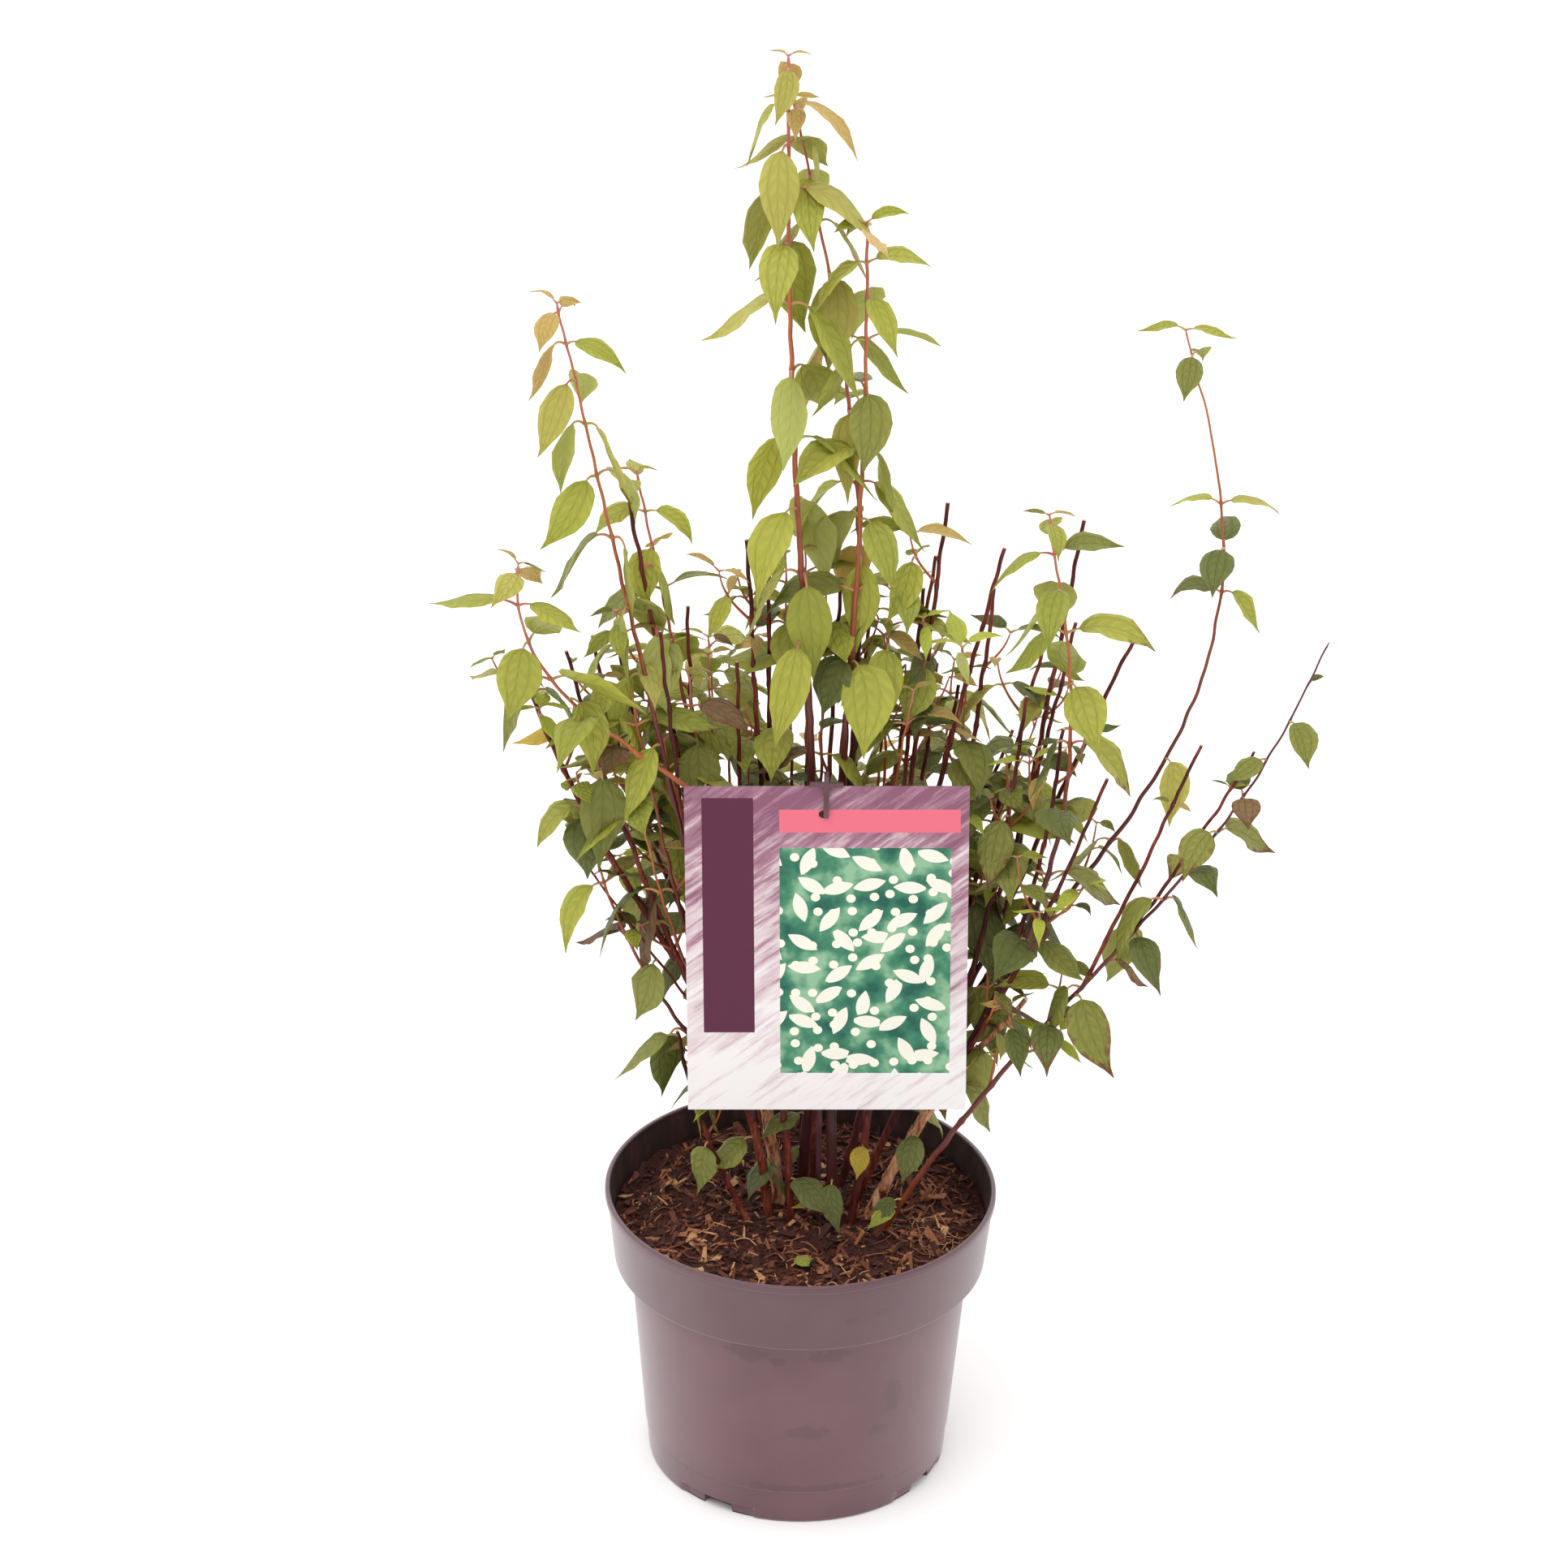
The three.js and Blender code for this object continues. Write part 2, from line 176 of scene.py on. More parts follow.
pot = turned("pot_shell", rounded(POT_CORNERS), POT_SIDES)
foot_radius = POT_CORNERS[1][0]
notch_angles = [NOTCH_FIRST_DEG + index * 360 / NOTCHES for index in range(NOTCHES)]
for vertex in pot.data.vertices:
    radius = math.hypot(vertex.co.x, vertex.co.y)
    angle = math.degrees(math.atan2(vertex.co.y, vertex.co.x))
    apart = min(abs((angle - notch + 180) % 360 - 180) for notch in notch_angles)
    outside = radius > (foot_radius - RECESS_INSIDE) * MM
    if outside and apart < RECESS_HALF_DEG and vertex.co.z < RECESS_TOP * MM:
        vertex.co.xy *= 1 - RECESS_DEEP * MM / radius
cutters = []
for notch in notch_angles:
    angle = math.radians(notch)
    bpy.ops.object.select_all(action="DESELECT")
    bpy.ops.mesh.primitive_cube_add(
        size=1, scale=[side * MM for side in NOTCH_SIZE], rotation=(0, 0, angle),
        location=(foot_radius * MM * math.cos(angle), foot_radius * MM * math.sin(angle), 0))
    cutters.append(bpy.context.object)
for cutter in cutters:
    cutter.select_set(True)
bpy.context.view_layer.objects.active = cutters[0]
bpy.ops.object.join()
cutter = bpy.context.object
bpy.ops.object.select_all(action="DESELECT")
bpy.context.view_layer.objects.active = pot
pot.select_set(True)
notch_cut = pot.modifiers.new("drain_notches", "BOOLEAN")
notch_cut.operation = "DIFFERENCE"
notch_cut.object = cutter
bpy.ops.object.modifier_apply(modifier=notch_cut.name)
bpy.data.objects.remove(cutter)
assert len(pot.data.polygons) > POT_SIDES, "the notch cut left no pot shell"
finish_smooth(pot, POT_SHARP_DEG)

# Moulded polypropylene: dull and slightly chalky, with a faint cloudy tone, a few damp
# patches that ran down from the collar, and painted shade that darkens the whole collar.
# Its fine matt grain is drawn coarser than the real one, so that it shows.
POT_GRAIN_MM = 0.45
POT_GRAIN_DEPTH_MM = 0.06
POT_CLOUD_MM = 40
COLLAR_FOOT = (108, 111)
COLLAR_PAINTED_SHADE = 0.34
DAMP_SPOTS = [  # right, back and up to the middle of each, then its half width and half height
    (5, -80, 55, 12, 6), (45, -65, 70, 6, 16), (40, -70, 50, 6, 7), (-25, -80, 100, 15, 6),
    (15, -85, 100, 14, 5), (-10, -85, 97, 7, 4), (5, -75, 21, 50, 3), (25, -90, 125, 5, 4),
    (40, -85, 128, 5, 3),
]
DAMP_FRAY_MM = 6.25
DAMP_FRAY = 1.6
DAMP_EDGE = (1.62, 1.3)
DAMP_SHARE = 0.4
BLENDED = {"data_type": "RGBA"}
TIMES = {"operation": "MULTIPLY"}
TIMES_PLUS = {"operation": "MULTIPLY_ADD"}
polypropylene, tree, shader, place = new_material(
    "matt_moulded_polypropylene", Roughness=0.5, IOR=1.49, Specular_IOR_Level=0.6, Sheen_Weight=0.42,
    Sheen_Roughness=0.45)
cloud = add_node(tree, "TexNoise", None, place, Scale=1 / (POT_CLOUD_MM * MM), Detail=3)
plastic = add_node(tree, "ValToRGB", {"stops": [(0.3, "#59353e"), (0.7, "#643f48")]}, cloud)
height = add_node(tree, "SeparateXYZ", None, place).outputs["Z"]
# Painted shade: above its foot the collar is blended toward a dark mauve, for its downward-facing flare.
collar = add_node(tree, "MapRange", None, height, *[edge * MM for edge in COLLAR_FOOT], To_Max=COLLAR_PAINTED_SHADE)
collar_painted_shade = add_node(tree, "Mix", BLENDED, collar, plastic, "#351b22")
fray = add_node(tree, "TexNoise", None, place, Scale=1 / (DAMP_FRAY_MM * MM), Detail=4, Distortion=0.6)
damp = 0.0
for *middle, half_wide, half_high in DAMP_SPOTS:
    spread = [1 / (half * MM) for half in (half_wide, half_wide * 2, half_high)]
    centre = [-value * MM * share for value, share in zip(middle, spread)]
    from_middle = add_node(tree, "Mapping", None, place, Location=centre, Scale=spread)
    reach = add_node(tree, "VectorMath", {"operation": "LENGTH"}, from_middle)
    uneven = add_node(tree, "Math", TIMES_PLUS, fray, DAMP_FRAY, reach)
    spot = add_node(tree, "MapRange", None, uneven, *DAMP_EDGE)
    damp = add_node(tree, "Math", {"operation": "MAXIMUM"}, damp, spot)
wetness = add_node(tree, "Math", TIMES, damp, DAMP_SHARE)
feed(shader.inputs["Base Color"], add_node(tree, "Mix", BLENDED, wetness, collar_painted_shade, "#3f232a"))
grain = add_node(tree, "TexNoise", None, place, Scale=1 / (POT_GRAIN_MM * MM), Detail=2)
feed(shader.inputs["Normal"], add_node(tree, "Bump", None, Height=grain, Distance=POT_GRAIN_DEPTH_MM * MM,
                                       Strength=0.5))
pot.data.materials.clear()
pot.data.materials.append(polypropylene)

# The inner wall over the compost is painted near-black, as painted shade inside the rim,
# with dull streaks through it.
INNER_SHADE_LOW = 112
INNER_SHADE_FACING = -0.5
INNER_STREAK_MM = 7.14
INNER_STREAK_DRAWN_OUT = (1, 1, 0.4)
INNER_STREAK_DEPTH_MM = 0.3
shaded_inner_wall, tree, shader, place = new_material("painted_shade_inner_polypropylene", Roughness=0.6, IOR=1.49)
drawn = add_node(tree, "Mapping", None, place, Scale=INNER_STREAK_DRAWN_OUT)
inner_streaks = add_node(tree, "TexNoise", None, drawn, Scale=1 / (INNER_STREAK_MM * MM), Detail=5)
inner_shade_colours = {"stops": [(0.35, "#1e0e0b"), (0.6, "#381c16"), (0.8, "#4d312d")]}
feed(shader.inputs["Base Color"], add_node(tree, "ValToRGB", inner_shade_colours, inner_streaks))
feed(shader.inputs["Normal"], add_node(tree, "Bump", None, Height=inner_streaks, Distance=INNER_STREAK_DEPTH_MM * MM,
                                       Strength=0.6))
pot.data.materials.append(shaded_inner_wall)
# Inward-facing faces above this height take the painted shade.
for face in pot.data.polygons:
    outward = Vector((face.center.x, face.center.y, 0)).normalized()
    if face.center.z > INNER_SHADE_LOW * MM and face.normal.dot(outward) < INNER_SHADE_FACING:
        face.material_index = 1
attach(pot, "root")
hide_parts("pot")

# ---------------------------------------------------------------------------
# Compost. Dark moist peat mix, filled to a finger's width below the lip and
# settled unevenly, with bark chips, wood fibres and crumbs lying on it.

SOIL_TOP = 131.0
SOIL_SKIN = 1
SOIL_SINK = 0.8
SOIL_MOUND = (1.6, 90)
SOIL_SWELLS = (  # waves per metre, the noise's own layer and height in mm, from broad ones to crumbs
    (45, 0.0, 2.2), (170, 3.0, 1.3), (520, 7.0, 0.6),
)
SOIL_RINGS = 46
SOIL_SIDES = 150
SOIL_EDGE = 90.3
SOIL_FLOOR = [(60.0, 3.6), (70.2, 6.4), (80.3, 110.0), (80.4, 113.0), (88.0, 113.4), (90.2, 128.4)]
SOIL_SHARP_DEG = 60


def soil_height(x, y):
    """Height of the compost in metres at a place in metres."""
    mound_high, mound_reach = SOIL_MOUND
    out = min(1.0, math.hypot(x, y) / (mound_reach * MM))
    height = SOIL_TOP * MM - SOIL_SINK * MM + mound_high * MM * math.cos(out * math.pi / 2)
    for per_metre, layer, swell in SOIL_SWELLS:
        height += noise.noise(Vector((x, y, layer)) * per_metre) * swell * MM
    return height


rings = [(SOIL_EDGE * (1 - i / SOIL_RINGS), SOIL_TOP) for i in range(SOIL_RINGS)]
soil = turned("compost", SOIL_FLOOR + rings, SOIL_SIDES)
for vertex in soil.data.vertices:
    if vertex.co.z > (SOIL_TOP - SOIL_SKIN) * MM:
        vertex.co.z = soil_height(vertex.co.x, vertex.co.y)
finish_smooth(soil, SOIL_SHARP_DEG)

# Peat: near-black when moist, with red-brown lights and a crumbly surface.
PEAT_BLEND_MM = 2.38
CLOD_MM = 1.11
CLOD_DEPTH_MM = 1.2
peat, tree, shader, place = new_material("moist_peat_compost", Roughness=0.95, IOR=1.4)
blend = add_node(tree, "TexNoise", None, place, Scale=1 / (PEAT_BLEND_MM * MM), Detail=6, Roughness=0.7)
browns = {"stops": [(0.3, "#1f0b07"), (0.5, "#40190f"), (0.62, "#572818"), (0.75, "#75432d")]}
feed(shader.inputs["Base Color"], add_node(tree, "ValToRGB", browns, blend))
clods = add_node(tree, "TexNoise", None, place, Scale=1 / (CLOD_MM * MM), Detail=5, Roughness=0.75)
feed(shader.inputs["Normal"], add_node(tree, "Bump", None, Height=clods, Distance=CLOD_DEPTH_MM * MM))
soil.data.materials.clear()
soil.data.materials.append(peat)
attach(soil, "root")
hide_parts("soil")

# Loose litter: split bark chips, wood fibres and peat crumbs, dealt out by one
# seeded draw. Sizes are in mm, as least and most, but a crumb's width and height
# are shares of its length. The tones are four shares, from dark to pale.
CHIP_COUNT = 1500
CRUMB_COUNT = 1500
FLAKE_SHARE = 0.3
FLAKE_SIZE = ((4.0, 12.0), (1.8, 4.2))
SPLINTER_SIZE = ((2.5, 9.0), (0.6, 1.6))
CHIP_THICK = (0.4, 1.0)
CRUMB_LONG = (0.8, 2.4)
CRUMB_SHARES = ((0.6, 0.9), (0.5, 0.8))
CHIP_TONES = (40, 32, 19, 9)
CRUMB_TONES = (76, 21, 3, 0)
LITTER_REACH = 88
LITTER_EDGE = 90
LITTER_PITCH = 0.38
LITTER_LEAN = 0.35
LITTER_TAPER = (0.35, 0.9)
LITTER_JITTER = 0.12
LITTER_BEDDED = 0.35
LITTER_PROPPED = 0.3


class Heap:
    """Gathers many small bodies of one kind into one mesh."""

    def __init__(self):
        self.points, self.faces, self.slots, self.uv = [], [], [], []
        self.values = {}
        self.count = 0

    def add(self, points, faces, slots, uv=None, **values):
        points = np.asarray(points, float)
        self.points.append(points)
        self.faces.extend([tuple(int(i) + self.count for i in face) for face in faces])
        self.slots.extend([slots] * len(faces) if isinstance(slots, int) else slots)
        self.uv.append(np.zeros((len(points), 2)) if uv is None else uv)
        for key, value in values.items():
            self.values.setdefault(key, []).append(np.broadcast_to(value, len(points)))
        self.count += len(points)

    def piece(self, name, materials, smooth=True):
        mesh = bpy.data.meshes.new(name)
        points = np.concatenate(self.points) * MM
        mesh.from_pydata(points.tolist(), [], self.faces)
        for material in materials:
            mesh.materials.append(material)
        mesh.polygons.foreach_set("material_index", self.slots)
        mesh.polygons.foreach_set("use_smooth", [smooth] * len(self.faces))
        corners = np.zeros(len(mesh.loops), int)
        mesh.loops.foreach_get("vertex_index", corners)
        layer = mesh.uv_layers.new(name="UVMap")
        layer.data.foreach_set("uv", np.concatenate(self.uv)[corners].ravel())
        for key, value in self.values.items():
            mesh.attributes.new(key, "FLOAT", "POINT").data.foreach_set("value", np.concatenate(value))
        mesh.update()
        made = bpy.data.objects.new(name, mesh)
        bpy.context.scene.collection.objects.link(made)
        return made


def block_faces():
    return [(0, 3, 2, 1), (4, 5, 6, 7), (0, 1, 5, 4), (1, 2, 6, 5), (2, 3, 7, 6), (3, 0, 4, 7)]


litter_draw = random.Random(19)
litter = Heap()
for index in range(CHIP_COUNT + CRUMB_COUNT):
    is_chip = index < CHIP_COUNT
    reach = LITTER_REACH * math.sqrt(litter_draw.random())
    around = litter_draw.uniform(0, 2 * math.pi)
    x, y = reach * math.cos(around), reach * math.sin(around)
    if is_chip:
        size = FLAKE_SIZE if litter_draw.random() < FLAKE_SHARE else SPLINTER_SIZE
        long, wide = [litter_draw.uniform(*ends) for ends in size]
        thick = litter_draw.uniform(*CHIP_THICK)
    else:
        long = litter_draw.uniform(*CRUMB_LONG)
        wide, thick = [long * litter_draw.uniform(*ends) for ends in CRUMB_SHARES]
    turn = litter_draw.uniform(0, 2 * math.pi)
    inward = min(1.0, (LITTER_EDGE - long / 2) / max(reach, 1))
    x, y = x * inward, y * inward
    pitch = litter_draw.gauss(0, LITTER_PITCH)
    taper = litter_draw.uniform(*LITTER_TAPER)
    axis = np.array([math.cos(turn) * math.cos(pitch), math.sin(turn) * math.cos(pitch), math.sin(pitch)])
    side = np.array([-math.sin(turn), math.cos(turn), litter_draw.gauss(0, LITTER_LEAN)])
    side /= np.linalg.norm(side)
    lift = np.cross(axis, side)
    propped = abs(math.sin(pitch)) * long * LITTER_PROPPED
    rest = soil_height(x * MM, y * MM) / MM + thick * LITTER_BEDDED + propped
    corners = []
    for up in (-0.5, 0.5):
        for a, b in ((-0.5, -0.5), (0.5, -0.5), (0.5, 0.5), (-0.5, 0.5)):
            narrow = 1 if a < 0 else taper
            jitter = [litter_draw.uniform(-LITTER_JITTER, LITTER_JITTER) for _ in range(3)]
            corners.append(np.array([x, y, rest]) + axis * long * (a + jitter[0])
                           + side * wide * narrow * (b + jitter[1]) + lift * thick * (up + jitter[2]))
    tone = litter_draw.choices(range(len(CHIP_TONES)), CHIP_TONES if is_chip else CRUMB_TONES)[0]
    litter.add(corners, block_faces(), tone)


NEARLY_ALONG = 0.2


def tube_points(centres, radii, sides, frame_hint=(0.0, 1.0, 0.0)):
    """Rings of points round a line, with their unit out-directions."""
    centres = np.asarray(centres, float)
    along = np.gradient(centres, axis=0)
    along /= np.linalg.norm(along, axis=1)[:, None]
    side = np.cross(np.asarray(frame_hint), along[0])
    if np.linalg.norm(side) < NEARLY_ALONG:
        side = np.cross(np.array([1.0, 0.0, 0.0]), along[0])
    angles = np.arange(sides) * 2 * math.pi / sides
    points, outward = [], []
    for centre, direction, radius in zip(centres, along, radii):
        side = side - direction * np.dot(side, direction)
        side /= np.linalg.norm(side)
        other = np.cross(direction, side)
        out = np.cos(angles)[:, None] * side + np.sin(angles)[:, None] * other
        outward.append(out)
        points.append(centre + out * np.reshape(radius, (-1, 1)))
    return np.array(points), np.array(outward)


def tube_faces(rings_count, sides, closed=True):
    faces = []
    for i in range(rings_count - 1):
        for j in range(sides):
            k = (j + 1) % sides
            faces.append((i * sides + j, i * sides + k, (i + 1) * sides + k, (i + 1) * sides + j))
    if closed:
        faces.append(tuple(range(sides - 1, -1, -1)))
        faces.append(tuple((rings_count - 1) * sides + j for j in range(sides)))
    return faces


# Fibres lie all over the compost, and fine roots wander about one place on its
# right, a little to the front.
FIBRE_COUNT = 150
FIBRE_REACH = 86
FIBRE_STEPS = 6
FIBRE_HALF = (0.18, 0.42)
FIBRE_TONES = (1, 2, 2, 3)
ROOT_COUNT = 34
ROOT_PLACE = (58, -24)
ROOT_SPREAD = 24
ROOT_STEPS = 12
ROOT_HALF = (0.16, 0.26)
ROOT_WANDER = 0.35
STRAND_SIDES = 4
STRAND_BEND = 0.16
STRAND_STEP = (1.2, 3.2)
STRAND_RISE = (0.3, 1.5)
STRAND_CLEAR = 0.6
for index in range(FIBRE_COUNT + ROOT_COUNT):
    is_root = index >= FIBRE_COUNT
    reach = (ROOT_SPREAD if is_root else FIBRE_REACH) * math.sqrt(litter_draw.random())
    around = litter_draw.uniform(0, 2 * math.pi)
    x, y = reach * math.cos(around), reach * math.sin(around)
    if is_root:
        x, y = x + ROOT_PLACE[0], y + ROOT_PLACE[1]
    turn, bend = litter_draw.uniform(0, 2 * math.pi), litter_draw.gauss(0, STRAND_BEND)
    step = litter_draw.uniform(*STRAND_STEP)
    rise = litter_draw.uniform(*STRAND_RISE)
    line = []
    steps = ROOT_STEPS if is_root else FIBRE_STEPS
    for k in range(steps):
        if math.hypot(x, y) > LITTER_REACH:
            break
        arch = rise * math.sin(math.pi * k / (steps - 1))
        line.append((x, y, soil_height(x * MM, y * MM) / MM + STRAND_CLEAR + arch))
        x, y = x + step * math.cos(turn), y + step * math.sin(turn)
        turn += bend + (litter_draw.gauss(0, ROOT_WANDER) if is_root else 0)
    if len(line) < 3:
        continue
    thin = litter_draw.uniform(*(ROOT_HALF if is_root else FIBRE_HALF))
    body, _ = tube_points(line, [thin] * len(line), STRAND_SIDES)
    litter.add(body.reshape(-1, 3), tube_faces(len(line), STRAND_SIDES), litter_draw.choice(FIBRE_TONES))

# Softwood bark and wood splinters: dull, dark where wet and pale where split.
# Their uneven grain is drawn coarser than real wood fibres, so that it shows.
LITTER_STRAND_MM = 0.77
LITTER_STRAND_DEPTH_MM = 0.3
LITTER_COLOURS = {
    "wet_bark_dark": ("#240d08", "#421b11"),
    "wet_bark_brown": ("#4b2114", "#6f3a26"),
    "split_bark_tan": ("#7a452a", "#9a6441"),
    "split_wood_pale": ("#9c6f47", "#c2976c"),
}
litter_materials = []
for name, (dark, light) in LITTER_COLOURS.items():
    chip, tree, shader, place = new_material(name, Roughness=0.85, IOR=1.45)
    strand = add_node(tree, "TexNoise", None, place, Scale=1 / (LITTER_STRAND_MM * MM), Detail=4)
    grain = add_node(tree, "ValToRGB", {"stops": [(0.35, dark), (0.65, light)]}, strand)
    feed(shader.inputs["Base Color"], grain)
    feed(shader.inputs["Normal"], add_node(tree, "Bump", None, Height=strand,
                                           Distance=LITTER_STRAND_DEPTH_MM * MM, Strength=0.8))
    litter_materials.append(chip)
litter_piece = litter.piece("compost_litter", litter_materials, smooth=False)
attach(litter_piece, "root")

# ---------------------------------------------------------------------------
# Hanging card and holder. A sheet of white plastic card, printed on both faces
# and punched below its top edge, hangs on the hook of a moulded plastic stake
# that is pushed into the compost. The print is plain bars and a panel of sprigs.

CARD_MIDDLE = (10.2, -30, 293)
CARD_TILT_DEG = 1
WASH_FADE = 0.0022
WASH_SLANT_DEG = 38
WASH_STROKE_MM = (50, 50, 5)
BAR = (-46, 18, 12, 62)
BAND = (20, 68, 42, 6)
PANEL = (18, -6, 40, 60)
PANEL_CLOUD_MM = 16.7
SPRIG_SPACING = 15
SPRIG_HALF = (8.0, 3.2)
BERRY_SPACING = 9
BERRY_RADIUS = 2.2
BERRY_LEFT_OUT = 0.4
CARD_GRAIN_MM = 1.25
CARD_GRAIN_DEPTH_MM = 0.02
PLUS = {"operation": "ADD"}
MINUS = {"operation": "SUBTRACT"}
EQUAL = {"operation": "COMPARE"}
BELOW = {"operation": "LESS_THAN"}
ABOVE = {"operation": "GREATER_THAN"}
SIZE_OF = {"operation": "ABSOLUTE"}

printed_card, tree, shader, place = new_material("printed_plastic_card", Roughness=0.4, IOR=1.5,
                                                 Specular_IOR_Level=0.2)
from_middle = add_node(tree, "VectorMath", MINUS, place, [value * MM for value in CARD_MIDDLE])
in_mm = add_node(tree, "Mapping", None, from_middle, Rotation=(0, math.radians(CARD_TILT_DEG), 0),
                 Scale=(1 / MM, 1 / MM, 1 / MM))
card_place = add_node(tree, "SeparateXYZ", None, in_mm)
CARD_X, CARD_Z = card_place.outputs["X"], card_place.outputs["Z"]


def patch_at(middle_x, middle_z, half_wide, half_high):
    """1 inside a rectangle on the card, in mm from its middle."""
    across = add_node(tree, "Math", EQUAL, CARD_X, middle_x, half_wide)
    return add_node(tree, "Math", TIMES, across, add_node(tree, "Math", EQUAL, CARD_Z, middle_z, half_high))


def scattered(spacing):
    """The place in mm from the nearest motif's middle, and that motif's own random value."""
    on_card = add_node(tree, "CombineXYZ", None, CARD_X, CARD_Z)
    grid = add_node(tree, "TexVoronoi", {"voronoi_dimensions": "2D"}, on_card, Scale=1 / spacing,
                    Randomness=0.6)
    middle = add_node(tree, "SeparateXYZ", None, grid.outputs["Position"])
    right = add_node(tree, "Math", MINUS, CARD_X, middle.outputs["X"])
    up = add_node(tree, "Math", MINUS, CARD_Z, middle.outputs["Y"])
    return right, up, add_node(tree, "SeparateXYZ", None, grid.outputs["Color"]).outputs["X"]


# The ground: a brushed wash that fades downward, then the bar and the band.
slanted = add_node(tree, "Mapping", None, in_mm, Rotation=(0, math.radians(WASH_SLANT_DEG), 0))
strokes = add_node(tree, "Mapping", None, slanted, Scale=[1 / size for size in WASH_STROKE_MM])
brushed = add_node(tree, "TexNoise", None, strokes, Scale=1, Detail=6, Roughness=0.7)
washed = add_node(tree, "Math", TIMES_PLUS, CARD_Z, -WASH_FADE, brushed)
WASH_COLOURS = {"stops": [(0.28, "#7f5166"), (0.4, "#9c7584"), (0.47, "#bda6ac"), (0.56, "#cfc1c4"),
                          (0.66, "#dbd7d6")]}
ground = add_node(tree, "ValToRGB", WASH_COLOURS, washed)
barred = add_node(tree, "Mix", BLENDED, patch_at(*BAR), ground, "#522238")
banded = add_node(tree, "Mix", BLENDED, patch_at(*BAND), barred, "#d46778")

# The panel: cloudy greens with pale sprigs, each turned its own way, and berries.
panel = patch_at(*PANEL)
cloud = add_node(tree, "TexNoise", None, in_mm, Scale=1 / PANEL_CLOUD_MM, Detail=3)
PANEL_COLOURS = {"stops": [(0.35, "#1a5547"), (0.5, "#3f7c5f"), (0.62, "#83ab8a")]}
greens = add_node(tree, "ValToRGB", PANEL_COLOURS, cloud)
panelled = add_node(tree, "Mix", BLENDED, panel, banded, greens)
right, up, chance = scattered(SPRIG_SPACING)
lean = add_node(tree, "Math", TIMES, chance, 2 * math.pi)
cosine = add_node(tree, "Math", {"operation": "COSINE"}, lean)
sine = add_node(tree, "Math", {"operation": "SINE"}, lean)
along = add_node(tree, "Math", TIMES_PLUS, right, cosine, add_node(tree, "Math", TIMES, up, sine))
over = add_node(tree, "Math", TIMES, up, cosine)
beside = add_node(tree, "Math", MINUS, over, add_node(tree, "Math", TIMES, right, sine))
share = add_node(tree, "Math", {"operation": "DIVIDE"}, along, SPRIG_HALF[0])
inside = add_node(tree, "Math", MINUS, 1, add_node(tree, "Math", TIMES, share, share))
rim = add_node(tree, "Math", TIMES, inside, SPRIG_HALF[1])
sprig = add_node(tree, "Math", BELOW, add_node(tree, "Math", SIZE_OF, beside), rim)
sprigged = add_node(tree, "Mix", BLENDED, add_node(tree, "Math", TIMES, sprig, panel), panelled, "#dcd9cd")
right, up, chance = scattered(BERRY_SPACING)
squared = add_node(tree, "Math", TIMES_PLUS, right, right, add_node(tree, "Math", TIMES, up, up))
round_spot = add_node(tree, "Math", BELOW, squared, BERRY_RADIUS ** 2)
berry = add_node(tree, "Math", TIMES, round_spot, add_node(tree, "Math", ABOVE, chance, BERRY_LEFT_OUT))
berried = add_node(tree, "Mix", BLENDED, add_node(tree, "Math", TIMES, berry, panel), sprigged, "#e0dccb")
feed(shader.inputs["Base Color"], berried)

# The sheet's own faint grain is drawn coarser than the real one, so that it shows.
grain = add_node(tree, "TexNoise", None, in_mm, Scale=1 / CARD_GRAIN_MM, Detail=2)
feed(shader.inputs["Normal"], add_node(tree, "Bump", None, Height=grain, Distance=CARD_GRAIN_DEPTH_MM * MM,
                                       Strength=0.3))
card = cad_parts["label_card"]
card.data.materials.clear()
card.data.materials.append(printed_card)

# Moulded stake plastic: dark maroon, dull, with a fine pull grain along it.
PULL_MM = 1.11
PULL_DRAWN_OUT = (1, 1, 0.1)
PULL_DEPTH_MM = 0.1
stake_plastic, tree, shader, place = new_material("moulded_stake_plastic", Roughness=0.45, IOR=1.49)
drawn = add_node(tree, "Mapping", None, place, Scale=PULL_DRAWN_OUT)
pull = add_node(tree, "TexNoise", None, drawn, Scale=1 / (PULL_MM * MM), Detail=3)
maroon = add_node(tree, "ValToRGB", {"stops": [(0.3, "#46262d"), (0.7, "#613a42")]}, pull)
feed(shader.inputs["Base Color"], maroon)
feed(shader.inputs["Normal"], add_node(tree, "Bump", None, Height=pull, Distance=PULL_DEPTH_MM * MM,
                                       Strength=0.5))
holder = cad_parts["label_holder"]
holder.data.materials.clear()
holder.data.materials.append(stake_plastic)

# ---------------------------------------------------------------------------
# Canes and shoots. About a dozen slim woody canes rise from one crown in the
# compost and fork higher up. Old wood has dark or peeling bark and is cut back,
# young shoots are pink to brown, and leaves and side shoots start at paired buds.

TUBE_STEP = 2.6
LINE_POINTS = 80
STEM_SIDES = 10
NODE_SWELL = 0.36
NODE_LENGTH = 1.3
NODE_REACH = 3
TIP_SHARE = 0.35
WANDER = 0.9
WANDER_PER_MM = 0.09
WANDER_LAYER = 9.1
WANDER_FROM = 20
WANDER_FULL = 120
RELIEF = {"old": 0.12, "young": 0.05, "peeling": 0.2}
RELIEF_PER_MM = (0.9, 0.9, 0.25)
TAPER = {"old": 1.0, "young": 1.3, "peeling": 1.0}
UV_MM = 100
CARD_ROOM = ((-62, 82), (-200, -24), (196, 396))

bark = {"old": Heap(), "young": Heap(), "peeling": Heap()}
petioles = Heap()
foliage = {}
limbs = {}


